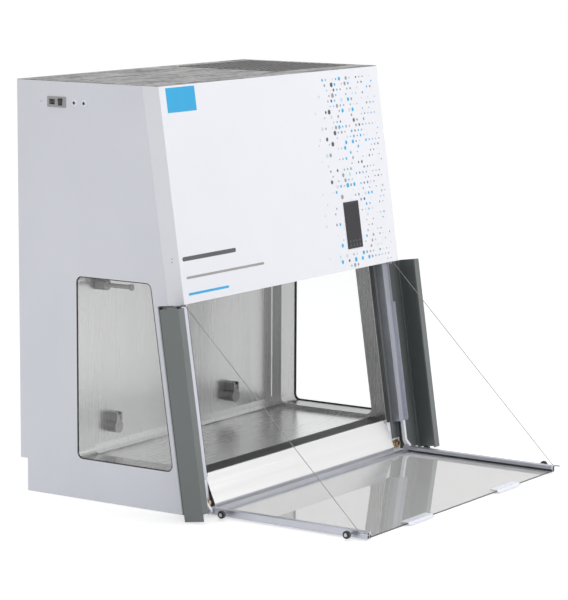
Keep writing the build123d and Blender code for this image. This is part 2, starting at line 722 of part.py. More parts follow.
# Fan hung from the plenum's top: inlet ring, impeller with curved blades, motor below
BLADES = 9
WHEEL_RADIUS = 115
WHEEL_HEIGHT = 70
WHEEL_DISC = 3
BLADE_THICK = 2.5
HUB_RADIUS = 26
SHAFT_RADIUS = 6
MOTOR_RADIUS = 60
MOTOR_HEIGHT = 80
RING_HEIGHT = 22
FAN_CLEAR = 6
wheel_top = PLENUM_TOP - SHEET - RING_HEIGHT - FAN_CLEAR
wheel_low = wheel_top - WHEEL_HEIGHT
fan_axis = Plane(origin=(FAN_X, FAN_Y, 0))
with BuildPart() as inlet_ring:
    with BuildSketch(Plane.XZ.offset(-FAN_Y)):
        with BuildLine():
            ring_top = PLENUM_TOP - SHEET
            Polyline(
                (FAN_X + INLET_RADIUS + 30, ring_top),
                (FAN_X + INLET_RADIUS + 30, ring_top - SHEET),
                (FAN_X + INLET_RADIUS + SHEET, ring_top - SHEET),
                (FAN_X + INLET_RADIUS - 14, ring_top - RING_HEIGHT),
                (FAN_X + INLET_RADIUS - 14 - SHEET, ring_top - RING_HEIGHT),
                (FAN_X + INLET_RADIUS - SHEET, ring_top),
                close=True,
            )
        make_face()
    revolve(axis=Axis((FAN_X, FAN_Y, 0), (0, 0, 1)))
write(inlet_ring, "fan_inlet_ring")

with BuildPart() as fan_wheel:
    with BuildSketch(Plane(origin=(FAN_X, FAN_Y, wheel_low))):
        Circle(WHEEL_RADIUS)
    extrude(amount=WHEEL_DISC)
    with BuildSketch(Plane(origin=(FAN_X, FAN_Y, wheel_low))):
        Circle(HUB_RADIUS)
    extrude(amount=WHEEL_HEIGHT / 2)
    with BuildSketch(Plane(origin=(FAN_X, FAN_Y, wheel_low + WHEEL_DISC))):
        with PolarLocations(0, BLADES):
            with BuildLine():
                ThreePointArc(
                    (HUB_RADIUS + 40, 0),
                    ((HUB_RADIUS + WHEEL_RADIUS + 40) / 2, -9),
                    (WHEEL_RADIUS - 2, -40),
                )
                offset(amount=BLADE_THICK / 2, side=Side.BOTH)
            make_face()
    extrude(amount=WHEEL_HEIGHT - WHEEL_DISC)
    with BuildSketch(Plane(origin=(FAN_X, FAN_Y, wheel_low))):
        Circle(SHAFT_RADIUS + PIVOT_PLAY)
    extrude(amount=WHEEL_HEIGHT / 2, mode=Mode.SUBTRACT)
write(fan_wheel, "fan_wheel")

# Motor with its shaft, on a bridge across the plenum
motor_top = wheel_low - FAN_CLEAR
BRIDGE_HEIGHT = 25
with BuildPart() as fan_motor:
    with BuildSketch(Plane(origin=(FAN_X, FAN_Y, motor_top - MOTOR_HEIGHT))):
        Circle(MOTOR_RADIUS)
    extrude(amount=MOTOR_HEIGHT)
    fillet(fan_motor.edges().filter_by(GeomType.CIRCLE), 8)
    with BuildSketch(Plane(origin=(FAN_X, FAN_Y, motor_top))):
        Circle(SHAFT_RADIUS)
    extrude(amount=FAN_CLEAR + WHEEL_HEIGHT / 2)
write(fan_motor, "fan_motor")
bridge_depth = FILTER_REAR_Y - PLENUM_FRONT_Y - 2 * SHEET
with BuildPart() as motor_bridge:
    with BuildSketch(Plane.XZ.offset(-(PLENUM_FRONT_Y + SHEET))):
        with Locations((FAN_X, motor_top - MOTOR_HEIGHT)):
            Rectangle(2 * MOTOR_RADIUS, BRIDGE_HEIGHT, align=(Align.CENTER, Align.MAX))
            Rectangle(2 * (MOTOR_RADIUS - BASE_SHEET), 2 * (BRIDGE_HEIGHT - BASE_SHEET), mode=Mode.SUBTRACT)
        with Locations((FAN_X, motor_top - MOTOR_HEIGHT)):
            Rectangle(2 * MOTOR_RADIUS, BASE_SHEET, align=(Align.CENTER, Align.MAX))
    extrude(amount=-bridge_depth)
write(motor_bridge, "motor_bridge")

# Electronics box inside the left side panel, behind the mains fittings
CONTROL_SIZE = (70, 205, 120)
with BuildPart() as control_box:
    with Locations((left(SHEET + GAP), REAR_Y - 2 * SHEET - CONTROL_SIZE[1] - 80, INLET_LOW - 40 - CONTROL_SIZE[2])):
        Box(*CONTROL_SIZE, align=LOW)
    fillet(control_box.edges().filter_by(Axis.Z), 4)
write(control_box, "control_box")

# Mains inlet on the left side: bezel, socket recess with three pins, and a well for the rocker
BEZEL = 2
SOCKET_DEPTH = 18
PIN_PITCH = 7
PIN_INSET = 5
BEZEL_RADIUS = 3
socket_wall = 1.5
bezel_middle = (INLET_FRONT_Y + INLET_REAR_Y) / 2
inlet_plane = side_view(-HALF - BEZEL)
with BuildPart() as power_inlet:
    with BuildSketch(inlet_plane):
        with Locations((bezel_middle, INLET_Z)):
            RectangleRounded(INLET_REAR_Y - INLET_FRONT_Y, INLET_HIGH - INLET_LOW, BEZEL_RADIUS)
    extrude(amount=BEZEL)
    with BuildSketch(inlet_plane):
        with Locations((SOCKET_CENTRE_Y, INLET_Z)):
            Rectangle(SOCKET_WIDTH, SOCKET_HEIGHT)
        with Locations((ROCKER_CENTRE_Y, INLET_Z)):
            Rectangle(ROCKER_WIDTH, ROCKER_HEIGHT)
    extrude(amount=SOCKET_DEPTH + BEZEL)
    with BuildSketch(inlet_plane):
        with Locations((SOCKET_CENTRE_Y, INLET_Z)):
            Rectangle(SOCKET_WIDTH - 2 * socket_wall, SOCKET_HEIGHT - 2 * socket_wall)
        with Locations((ROCKER_CENTRE_Y, INLET_Z)):
            Rectangle(ROCKER_WIDTH - 2 * socket_wall, ROCKER_HEIGHT - 2 * socket_wall)
    extrude(amount=SOCKET_DEPTH, mode=Mode.SUBTRACT)
    with BuildSketch(side_view(left(PIN_INSET))):
        with Locations((SOCKET_CENTRE_Y, INLET_Z)):
            with Locations((-PIN_PITCH, -2), (0, 2), (PIN_PITCH, -2)):
                Rectangle(2, 4)
    extrude(amount=SOCKET_DEPTH - BEZEL - PIN_INSET)
write(power_inlet, "power_inlet")

# Rocker of the mains switch, rocking on a cross axis inside its well
ROCKER_TILT = 12
rocker_room = 0.4
rocker_half = ROCKER_HEIGHT / 2 - socket_wall - rocker_room
rocker_wide = ROCKER_WIDTH - 2 * (socket_wall + rocker_room)
ROCKER_AXIS_INSET = 6
with BuildPart() as power_rocker:
    with BuildSketch(Plane.XZ.offset(-(ROCKER_CENTRE_Y - rocker_wide / 2))):
        with BuildLine():
            Polyline(
                (-HALF - BEZEL - 3.5, INLET_Z + rocker_half - 2.2),
                (-HALF - BEZEL - 0.5, INLET_Z),
                (-HALF - BEZEL + 0.4, INLET_Z - rocker_half + 1.2),
                (-HALF + 5, INLET_Z - rocker_half + 2.2),
                (-HALF + 11, INLET_Z),
                (-HALF + 5, INLET_Z + rocker_half - 2.2),
                close=True,
            )
        make_face()
    extrude(amount=-rocker_wide)
write(power_rocker, "power_rocker")

# Two fuse holders beside the inlet
with BuildPart() as fuse_holders:
    with BuildSketch(side_view(-HALF)):
        with Locations(*[(y, INLET_Z) for y in FUSE_Y]):
            Circle(FUSE_RADIUS)
    extrude(amount=24)
    with BuildSketch(side_view(-HALF)):
        with Locations(*[(y, INLET_Z) for y in FUSE_Y]):
            Circle(FUSE_RADIUS + 3)
    extrude(amount=-2)
    with BuildSketch(side_view(-HALF - 2)):
        with Locations(*[(y, INLET_Z) for y in FUSE_Y]):
            Circle(FUSE_RADIUS - 2)
    extrude(amount=-4)
    with BuildSketch(side_view(-HALF - 6)):
        with Locations(*[(y, INLET_Z) for y in FUSE_Y]):
            Rectangle(2, 2 * FUSE_RADIUS)
    extrude(amount=2, mode=Mode.SUBTRACT)
write(fuse_holders, "fuse_holders")

# Button-head screws: one beside the inlet, two in each return of the head panel
STUD_Y = 259
SCREW_RADIUS = 3
SCREW_HEAD = 0.8
HEAD_SCREWS = ((-272, 821), (-272, 831))
with BuildPart() as panel_screws:
    for side in (-1, 1):
        with BuildSketch(side_view(side * HALF)):
            with Locations(*HEAD_SCREWS):
                Circle(SCREW_RADIUS)
        extrude(amount=side * SCREW_HEAD)
    with BuildSketch(side_view(-HALF)):
        with Locations((STUD_Y, INLET_Z)):
            Circle(SCREW_RADIUS)
    extrude(amount=-SCREW_HEAD)
write(panel_screws, "panel_screws")

# Two service outlets on the chamber's rear wall, each with a sprung lid on a cross pin
OUTLET_X = {"left_outlet": -410, "right_outlet": 275}
OUTLET_Z = 203
OUTLET_RADIUS = 22
OUTLET_DEPTH = 30
OUTLET_BORE = 11
OUTLET_BORE_DEPTH = 20
LID_THICK = 5
LUG_WIDTH = 30
LUG_LOW = 222
LUG_HIGH = 252
LUG_SLOT = 15
LID_PIN_Z = 240
LID_PIN_RADIUS = 2
LID_EYE = 4.5
lid_back_y = BACK_WALL_Y - OUTLET_DEPTH - GAP
pin_y = lid_back_y - LID_THICK / 2
lug_front_y = pin_y - LID_EYE
outlet_parts = []
for outlet_name, outlet_x in OUTLET_X.items():
    with BuildPart() as outlet:
        with BuildSketch(Plane(origin=(outlet_x, BACK_WALL_Y, 0), x_dir=(1, 0, 0), z_dir=(0, -1, 0))):
            with Locations((0, OUTLET_Z)):
                Circle(OUTLET_RADIUS)
        extrude(amount=OUTLET_DEPTH)
        with Locations((outlet_x, lug_front_y, LUG_LOW)):
            Box(LUG_WIDTH, BACK_WALL_Y - lug_front_y, LUG_HIGH - LUG_LOW, align=MID)
        with Locations((outlet_x, lug_front_y - 1, LUG_LOW - 1)):
            Box(LUG_SLOT, LID_THICK + 2 * LID_EYE, LUG_HIGH - LUG_LOW + 2, align=MID, mode=Mode.SUBTRACT)
        with BuildSketch(Plane(origin=(outlet_x, lug_front_y - 1, 0), x_dir=(1, 0, 0), z_dir=(0, -1, 0))):
            with Locations((0, OUTLET_Z)):
                Circle(OUTLET_RADIUS + 1)
        extrude(amount=-(BACK_WALL_Y - OUTLET_DEPTH - lug_front_y + 1), mode=Mode.SUBTRACT)
        with BuildSketch(Plane(origin=(outlet_x, BACK_WALL_Y - OUTLET_DEPTH, 0), x_dir=(1, 0, 0), z_dir=(0, -1, 0))):
            with Locations((0, OUTLET_Z)):
                Circle(OUTLET_BORE)
        extrude(amount=-OUTLET_BORE_DEPTH, mode=Mode.SUBTRACT)
        with BuildSketch(side_view(outlet_x - LUG_WIDTH / 2)):
            with Locations((pin_y, LID_PIN_Z)):
                Circle(LID_PIN_RADIUS)
        extrude(amount=LUG_WIDTH)
    outlet_parts.append(outlet.part)
    with BuildPart() as lid:
        with BuildSketch(Plane(origin=(outlet_x, lid_back_y, 0), x_dir=(1, 0, 0), z_dir=(0, -1, 0))):
            with Locations((0, OUTLET_Z)):
                Circle(OUTLET_RADIUS)
            with Locations((0, OUTLET_Z)):
                Rectangle(LUG_SLOT - 1, LID_PIN_Z - OUTLET_Z, align=(Align.CENTER, Align.MIN))
        extrude(amount=LID_THICK)
        with BuildSketch(side_view(outlet_x - LUG_SLOT / 2 + 0.5)):
            with Locations((pin_y, LID_PIN_Z)):
                Circle(LID_EYE - 0.5)
        extrude(amount=LUG_SLOT - 1)
        with BuildSketch(side_view(outlet_x - LUG_SLOT / 2 + 0.5)):
            with Locations((pin_y, LID_PIN_Z)):
                Circle(LID_PIN_RADIUS + PIVOT_PLAY)
        extrude(amount=LUG_SLOT - 1, mode=Mode.SUBTRACT)
    write(lid, outlet_name + "_lid")
with BuildPart() as outlet_bodies:
    add(outlet_parts)
write(outlet_bodies, "outlet_bodies")

# Airflow probe high on the rear wall: ribbed gland and rod with a guard ring
PROBE_INSET = 130
PROBE_Z = 702
GLAND_RADIUS = 18
GLAND_FRONT_Y = 80
ROD_RADIUS = 7.5
ROD_FRONT_Y = -16
gland_length = BACK_WALL_Y - GLAND_FRONT_Y
with BuildPart() as airflow_probe:
    with BuildSketch(side_view(left(PROBE_INSET))):
        with BuildLine():
            Line((BACK_WALL_Y, PROBE_Z), (BACK_WALL_Y, PROBE_Z + GLAND_RADIUS - 4))
            TangentArc((BACK_WALL_Y, PROBE_Z + GLAND_RADIUS - 4), (BACK_WALL_Y - 6, PROBE_Z + GLAND_RADIUS), tangent=(0, 1))
            Line((BACK_WALL_Y - 6, PROBE_Z + GLAND_RADIUS), (GLAND_FRONT_Y + 10, PROBE_Z + GLAND_RADIUS))
            TangentArc((GLAND_FRONT_Y + 10, PROBE_Z + GLAND_RADIUS), (GLAND_FRONT_Y, PROBE_Z + ROD_RADIUS), tangent=(-1, 0))
            Polyline(
                (GLAND_FRONT_Y, PROBE_Z + ROD_RADIUS),
                (ROD_FRONT_Y + 8, PROBE_Z + ROD_RADIUS),
                (ROD_FRONT_Y + 8, PROBE_Z + ROD_RADIUS + 3),
                (ROD_FRONT_Y, PROBE_Z + ROD_RADIUS + 3),
                (ROD_FRONT_Y, PROBE_Z),
                (BACK_WALL_Y, PROBE_Z),
            )
        make_face()
    revolve(axis=Axis((left(PROBE_INSET), 0, PROBE_Z), (0, 1, 0)))
    with BuildSketch(side_view(left(PROBE_INSET))):
        with Locations(*[(GLAND_FRONT_Y + 18 + 8 * k, PROBE_Z + GLAND_RADIUS) for k in range(7)]):
            Rectangle(3, 3)
    revolve(axis=Axis((left(PROBE_INSET), 0, PROBE_Z), (0, 1, 0)), mode=Mode.SUBTRACT)
write(airflow_probe, "airflow_probe")

# Carriage stile: hollow section with an outer fin, sliding on the guide plate
STILE_REAR = GUIDE_THICK + GAP
with BuildPart() as stile:
    with BuildSketch(across_slope(STILE_TOP)):
        with Locations((left(STILE_OUTER), STILE_REAR)):
            Rectangle(STILE_INNER - STILE_OUTER, STILE_FRONT - STILE_REAR, align=CORNER)
            Rectangle(STILE_WALL, STILE_FIN - STILE_REAR, align=CORNER)
        with Locations((left(STILE_OUTER + STILE_WALL), STILE_REAR + STILE_WALL)):
            Rectangle(
                STILE_INNER - STILE_OUTER - 2 * STILE_WALL,
                STILE_FRONT - STILE_REAR - 2 * STILE_WALL,
                align=CORNER,
                mode=Mode.SUBTRACT,
            )
    extrude(amount=STILE_TOP - STILE_BOTTOM)
write_twins(stile, "stiles")

# Thin edge strip on the stile's outer side, with a rounded tab at its foot
STRIP_REAR = STILE_FRONT - 8
with BuildPart() as edge_strip:
    with BuildSketch(beside_slope(left(STILE_OUTER - STRIP_THICK))):
        with Locations((STILE_BOTTOM + 8, STRIP_REAR)):
            Rectangle(STRIP_TOP - STILE_BOTTOM - 8, STRIP_FRONT - STRIP_REAR, align=CORNER)
        with Locations((STILE_BOTTOM + 8, (STRIP_REAR + STRIP_FRONT) / 2)):
            Circle((STRIP_FRONT - STRIP_REAR) / 2)
    extrude(amount=STRIP_THICK)
write_twins(edge_strip, "edge_strips")

# Hinge arm: a flat bar from inside the stile's foot down to the sash pivot
HUB_RADIUS_ARM = 10
ARM_TAIL = 60
ARM_TAIL_REAR = 16
pivot_up = (PIVOT_Y - FOOT_Y) * LEAN_SIN + PIVOT_Z * LEAN_COS
pivot_out = -(PIVOT_Y - FOOT_Y) * LEAN_COS + PIVOT_Z * LEAN_SIN
arm_bend_up = pivot_up + 3 * HUB_RADIUS_ARM
with BuildPart() as hinge_arm:
    with BuildSketch(beside_slope(left(ARM_OUTER))):
        with Locations((pivot_up, pivot_out)):
            Circle(HUB_RADIUS_ARM)
        with Locations((arm_bend_up, ARM_REAR)):
            Rectangle(1, ARM_FRONT - ARM_REAR, align=CORNER)
        make_hull()
        with Locations((arm_bend_up, ARM_REAR)):
            Rectangle(STILE_BOTTOM - GAP - arm_bend_up, ARM_FRONT - ARM_REAR, align=CORNER)
        with Locations((STILE_BOTTOM - HUB_RADIUS_ARM, ARM_REAR)):
            Rectangle(ARM_TAIL + HUB_RADIUS_ARM, STILE_FRONT - STILE_WALL - ARM_REAR, align=CORNER)
        with Locations((pivot_up, pivot_out)):
            Circle(PIVOT_RADIUS, mode=Mode.SUBTRACT)
    extrude(amount=ARM_INNER - ARM_OUTER)
write_twins(hinge_arm, "hinge_arms")

# Pivot pin, fixed in the arm and turning in the sash rail
PIN_HEAD = 2
PIN_END = 56.5
with BuildPart() as pivot_pin:
    with BuildSketch(side_view(left(ARM_OUTER - PIN_HEAD))):
        with Locations((PIVOT_Y, PIVOT_Z)):
            Circle(PIVOT_RADIUS + 2)
    extrude(amount=PIN_HEAD)
    with BuildSketch(side_view(left(ARM_OUTER))):
        with Locations((PIVOT_Y, PIVOT_Z)):
            Circle(PIVOT_RADIUS)
    extrude(amount=PIN_END - ARM_OUTER)
write_twins(pivot_pin, "pivot_pins")

# Cable anchor at the top of the stile: a bracket with a cross stud
ANCHOR_STUD = 3
ANCHOR_WIDTH = 8
ANCHOR_HALF = 11
anchor_inset, anchor_up, anchor_out = CABLE_TOP
with BuildPart() as cable_anchor:
    with Locations(on_slope(left(STILE_OUTER + STILE_WALL), anchor_up - ANCHOR_HALF, STILE_FRONT)):
        Box(ANCHOR_WIDTH, 2 * ANCHOR_HALF, anchor_out - STILE_FRONT + ANCHOR_STUD + 1, align=LOW)
    with BuildSketch(beside_slope(left(anchor_inset - ANCHOR_STUD))):
        with Locations((anchor_up, anchor_out)):
            Circle(ANCHOR_STUD)
    extrude(amount=STILE_OUTER + STILE_WALL - anchor_inset + ANCHOR_STUD)
write_twins(cable_anchor, "cable_anchors")

# Sash side rail: hollow section with a glazing channel and an inner ledge
RAIL_BACK_Y = -387
RAIL_SLOT_DEPTH = 7
RAIL_LEDGE = 3
RAIL_LEDGE_LOW = 17.5
RAIL_LEDGE_HIGH = 20
RAIL_CHAMFER = 2
NOTCH_Y = -399
NOTCH_HALF = 4.5
NOTCH_DEPTH = 5
SPIKE_HEIGHT = 3.5
SPIKE_LENGTH = 9
rail_section = Plane(origin=(0, RAIL_BACK_Y, 0), x_dir=(1, 0, 0), z_dir=(0, -1, 0))
rail_length = RAIL_BACK_Y - SASH_FRONT_Y
with BuildPart() as sash_rail:
    with BuildSketch(rail_section):
        with BuildLine():
            Polyline(
                (left(RAIL_OUTER + RAIL_CHAMFER), SASH_BOTTOM),
                (left(RAIL_OUTER), SASH_BOTTOM + RAIL_CHAMFER),
                (left(RAIL_OUTER), SASH_TOP),
                (left(RAIL_INNER), SASH_TOP),
                (left(RAIL_INNER), RAIL_LEDGE_HIGH),
                (left(RAIL_INNER + RAIL_LEDGE), RAIL_LEDGE_HIGH),
                (left(RAIL_INNER + RAIL_LEDGE), RAIL_LEDGE_LOW),
                (left(RAIL_INNER - RAIL_SLOT_DEPTH), RAIL_LEDGE_LOW),
                (left(RAIL_INNER - RAIL_SLOT_DEPTH), PANE_BOTTOM),
                (left(RAIL_INNER), PANE_BOTTOM),
                (left(RAIL_INNER), SASH_BOTTOM),
                close=True,
            )
        make_face()
        with Locations((left(RAIL_OUTER + RAIL_WALL), SASH_BOTTOM + RAIL_WALL)):
            Rectangle(
                RAIL_INNER - RAIL_SLOT_DEPTH - RAIL_OUTER - 2 * RAIL_WALL,
                SASH_TOP - SASH_BOTTOM - 2 * RAIL_WALL,
                align=CORNER,
                mode=Mode.SUBTRACT,
            )
    extrude(amount=rail_length)
    with BuildSketch(side_view(left(RAIL_OUTER))):
        with BuildLine():
            Polyline(
                (RAIL_BACK_Y, SASH_TOP),
                (RAIL_BACK_Y, SASH_TOP + SPIKE_HEIGHT),
                (RAIL_BACK_Y - SPIKE_LENGTH, SASH_TOP),
                close=True,
            )
        make_face()
    extrude(amount=RAIL_WALL)
    with BuildSketch(side_view(left(RAIL_OUTER))):
        with BuildLine():
            Polyline(
                (NOTCH_Y - NOTCH_HALF, SASH_TOP),
                (NOTCH_Y, SASH_TOP - NOTCH_DEPTH),
                (NOTCH_Y + NOTCH_HALF, SASH_TOP),
                close=True,
            )
        make_face()
        with Locations((PIVOT_Y, PIVOT_Z)):
            Circle(PIVOT_RADIUS + PIVOT_PLAY)
    extrude(amount=RAIL_INNER - RAIL_SLOT_DEPTH - RAIL_OUTER, mode=Mode.SUBTRACT)
write_pair(sash_rail, "sash_rail")

# Rear rail of the folded sash, which seals at the bottom when the sash is closed
BAR_TOP = 17
BAR_SLOT = 6
BAR_WALL = 2
bar_half = HALF - RAIL_INNER - GAP
bar_front_y = RAIL_BACK_Y - 26
with BuildPart() as sash_cross_rail:
    with BuildSketch(side_view(-bar_half)):
        with Locations((RAIL_BACK_Y, SASH_BOTTOM)):
            Rectangle(RAIL_BACK_Y - bar_front_y, BAR_TOP - SASH_BOTTOM, align=(Align.MAX, Align.MIN))
        with Locations((bar_front_y, PANE_BOTTOM)):
            Rectangle(BAR_SLOT, PANE_TOP - PANE_BOTTOM, align=CORNER, mode=Mode.SUBTRACT)
        with Locations((bar_front_y + BAR_SLOT + BAR_WALL, SASH_BOTTOM + BAR_WALL)):
            Rectangle(
                RAIL_BACK_Y - bar_front_y - BAR_SLOT - 2 * BAR_WALL,
                BAR_TOP - SASH_BOTTOM - 2 * BAR_WALL,
                align=CORNER,
                mode=Mode.SUBTRACT,
            )
    extrude(amount=2 * bar_half)
    with Locations((0, RAIL_BACK_Y, RAIL_LEDGE_LOW - 1)):
        with Locations((bar_half - RAIL_LEDGE, 0), (RAIL_LEDGE - bar_half, 0)):
            Box(2 * RAIL_LEDGE + 1, 60, 2, mode=Mode.SUBTRACT)
write(sash_cross_rail, "sash_cross_rail")

# Glass pane held in the rails
PANE_FRONT_Y = -988
pane_half = HALF - (RAIL_INNER - RAIL_SLOT_DEPTH) - GAP
pane_rear_y = bar_front_y + BAR_SLOT - GAP
with BuildPart() as sash_pane:
    with Locations((0, PANE_FRONT_Y, PANE_BOTTOM)):
        Box(2 * pane_half, pane_rear_y - PANE_FRONT_Y, PANE_TOP - PANE_BOTTOM, align=MID)
    with Locations((0, pane_rear_y, PANE_BOTTOM)):
        for side in (-1, 1):
            with Locations((side * (pane_half + bar_half) / 2, 0)):
                Box(pane_half - bar_half + 2 * GAP, 60, 60, mode=Mode.SUBTRACT)
write(sash_pane, "sash_pane")

with BuildPart() as glazing_strip:
    with Locations((left(RAIL_INNER - RAIL_SLOT_DEPTH), SASH_FRONT_Y, PANE_TOP)):
        Box(RAIL_SLOT_DEPTH, bar_front_y - GAP - SASH_FRONT_Y, RAIL_LEDGE_LOW - PANE_TOP, align=LOW)
write_twins(glazing_strip, "glazing_strips")

# Two finger strips clipped over the pane's front edge
HANDLE_X = (210, 360)
HANDLE_LEAF = 28
HANDLE_THICK = 1.6
HANDLE_FOOT = 4.2
HANDLE_TOE = 9
with BuildPart() as handle_strip:
    with BuildSketch(side_view(-HANDLE_X[1])):
        with Locations((PANE_FRONT_Y, PANE_TOP)):
            Rectangle(HANDLE_LEAF, HANDLE_THICK, align=CORNER)
            Rectangle(HANDLE_THICK, HANDLE_THICK, align=(Align.MAX, Align.MIN))
            Rectangle(HANDLE_THICK, PANE_TOP - HANDLE_FOOT, align=(Align.MAX, Align.MAX))
        with Locations((PANE_FRONT_Y - HANDLE_THICK, HANDLE_FOOT)):
            Rectangle(HANDLE_TOE, HANDLE_THICK, align=(Align.MAX, Align.MIN))
    extrude(amount=HANDLE_X[1] - HANDLE_X[0])
write_twins(handle_strip, "handle_strips")

# Stub axles on the rails and the rollers that turn on them
AXLE_HEAD = 2
AXLE_COLLAR = 2
roller_inner = ROLLER_INSET + ROLLER_WIDTH
with BuildPart() as roller_axles:
    for roller_y in (ROLLER_REAR_Y, ROLLER_FRONT_Y):
        with BuildSketch(side_view(left(ROLLER_INSET - GAP))):
            with Locations((roller_y, ROLLER_Z)):
                Circle(AXLE_RADIUS)
        extrude(amount=RAIL_OUTER - ROLLER_INSET + GAP)
        with BuildSketch(side_view(left(ROLLER_INSET - GAP))):
            with Locations((roller_y, ROLLER_Z)):
                Circle(AXLE_RADIUS + 2.5)
        extrude(amount=-AXLE_HEAD)
        with BuildSketch(side_view(left(roller_inner + GAP))):
            with Locations((roller_y, ROLLER_Z)):
                Circle(AXLE_RADIUS + 2)
        extrude(amount=AXLE_COLLAR)
write_twins(roller_axles, "roller_axles")

ROLLER_GROOVE = 1.5
for roller_name, roller_y in {"rear": ROLLER_REAR_Y, "front": ROLLER_FRONT_Y}.items():
    with BuildPart() as roller:
        with BuildSketch(side_view(left(ROLLER_INSET))):
            with Locations((roller_y, ROLLER_Z)):
                Circle(ROLLER_RADIUS)
        extrude(amount=ROLLER_WIDTH)
        fillet(roller.edges(), 1.5)
        with BuildSketch(side_view(left(ROLLER_INSET))):
            with Locations((roller_y, ROLLER_Z)):
                Circle(ROLLER_RADIUS - 3)
                Circle(AXLE_RADIUS + 3, mode=Mode.SUBTRACT)
        extrude(amount=ROLLER_GROOVE, mode=Mode.SUBTRACT)
        with BuildSketch(side_view(left(ROLLER_INSET))):
            with Locations((roller_y, ROLLER_Z)):
                Circle(AXLE_RADIUS + PIVOT_PLAY)
        extrude(amount=ROLLER_WIDTH, mode=Mode.SUBTRACT)
    write_pair(roller, roller_name + "_roller")

# Cable ends: a bracket on the rail's outer face and a ferrule that the cable runs into
FERRULE_RADIUS = 2.6
FERRULE_FRONT_Y = -1003
FERRULE_REAR_Y = -976
EAR_LENGTH = 9
with BuildPart() as cable_end:
    with BuildSketch(Plane(origin=(0, FERRULE_REAR_Y, 0), x_dir=(1, 0, 0), z_dir=(0, -1, 0))):
        with Locations((left(CABLE_END_INSET), CABLE_END_Z)):
            Circle(FERRULE_RADIUS)
    extrude(amount=FERRULE_REAR_Y - FERRULE_FRONT_Y)
    with Locations((left(CABLE_END_INSET), FERRULE_REAR_Y - EAR_LENGTH - 4, CABLE_END_Z - 2)):
        Box(RAIL_OUTER - CABLE_END_INSET, EAR_LENGTH, 4, align=LOW)
write_twins(cable_end, "cable_ends")

# Stay cable: a taut wire from the anchor stud to the ferrule
with BuildPart() as stay_cable:
    top = Vector(*slope_point(left(anchor_inset), anchor_up, anchor_out))
    foot = Vector(left(CABLE_END_INSET), FERRULE_REAR_Y, CABLE_END_Z)
    run = (foot - top).normalized()
    start = top + run * (ANCHOR_STUD + 0.1)
    end = foot - run * (FERRULE_RADIUS * 0.5)
    with BuildSketch(Plane(origin=start, z_dir=run)):
        Circle(CABLE_RADIUS)
    extrude(amount=(end - start).length)
write_twins(stay_cable, "stay_cables")
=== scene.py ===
# %% [markdown]
# # A biological safety cabinet, from bare model to finished look
#
# The engineering model of the cabinet arrives with every sheet, glass and pin in its true place.
# This lesson gives those parts their finishes, adds the thin things that a solid model leaves out,
# such as wire rope, print and weld beads, and lights the whole in a plain white studio.
# All lengths are metres. -Y is the front, +Z is up, and the cabinet stands on Z = 0.

# %% Load the model
import json
import math
import random
import bmesh
import bpy
from mathutils import Matrix, Vector


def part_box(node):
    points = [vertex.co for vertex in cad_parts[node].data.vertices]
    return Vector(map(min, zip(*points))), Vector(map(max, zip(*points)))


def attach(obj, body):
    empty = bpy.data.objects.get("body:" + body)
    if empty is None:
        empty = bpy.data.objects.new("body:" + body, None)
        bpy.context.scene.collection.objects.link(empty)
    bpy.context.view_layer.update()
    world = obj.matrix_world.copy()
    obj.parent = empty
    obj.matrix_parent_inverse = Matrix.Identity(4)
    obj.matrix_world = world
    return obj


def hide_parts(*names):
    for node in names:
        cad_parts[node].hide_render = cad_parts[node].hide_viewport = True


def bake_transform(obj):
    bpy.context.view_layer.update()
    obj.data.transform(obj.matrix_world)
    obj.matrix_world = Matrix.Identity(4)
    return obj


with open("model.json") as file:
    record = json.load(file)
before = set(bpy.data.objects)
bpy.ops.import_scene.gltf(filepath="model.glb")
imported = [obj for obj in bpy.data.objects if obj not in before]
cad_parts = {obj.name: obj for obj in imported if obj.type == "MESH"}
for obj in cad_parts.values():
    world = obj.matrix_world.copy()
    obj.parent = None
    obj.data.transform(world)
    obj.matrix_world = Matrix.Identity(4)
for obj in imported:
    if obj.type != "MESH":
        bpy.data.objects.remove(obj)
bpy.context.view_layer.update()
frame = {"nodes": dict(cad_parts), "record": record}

# %% [markdown]
# ## The camera
#
# The picture was taken from the front left, far away, so the cabinet's edges hardly converge.
# A long lens at the same distance repeats that. The camera could be aimed with a constraint,
# but a direction turned into a rotation keeps it a plain, finished object. The last, tiny turn
# about the view line is the tilt of the original picture.

# %% Camera
CAMERA_PLACE = Vector((-7.55986, -5.36402, 2.00345))
CAMERA_LOOK = Vector((0.81903, 0.55405, -0.14906))
CAMERA_TILT = math.radians(0.243)
LENS = 162.73
camera_data = bpy.data.cameras.new("camera")
camera_data.sensor_width = 36
camera_data.lens = LENS
camera_data.shift_x = 0.0061
camera_data.shift_y = -0.0051
camera_data.clip_end = 100
camera = bpy.data.objects.new("camera", camera_data)
turn = CAMERA_LOOK.to_track_quat("-Z", "Y").to_matrix().to_4x4() @ Matrix.Rotation(CAMERA_TILT, 4, "Z")
camera.matrix_world = Matrix.Translation(CAMERA_PLACE) @ turn
bpy.context.scene.collection.objects.link(camera)
bpy.context.scene.camera = camera
print("camera stands", round(CAMERA_PLACE.length, 2), "m away")

# %% [markdown]
# ## The sloped front as a drawing board
#
# The head, the print and the cables are all placed on or from the sloped front. Instead of working
# out sines for each of them, one matrix turns the slope into a drawing board: x runs to the right,
# y runs up the slope, z stands out of it. Its origin line lies on the floor at the slope's foot.

# %% Slope helpers
LEAN = math.radians(8.33)
FOOT_Y = -0.355
HALF_WIDTH = 0.65
HEAD_OUT = 0.0653


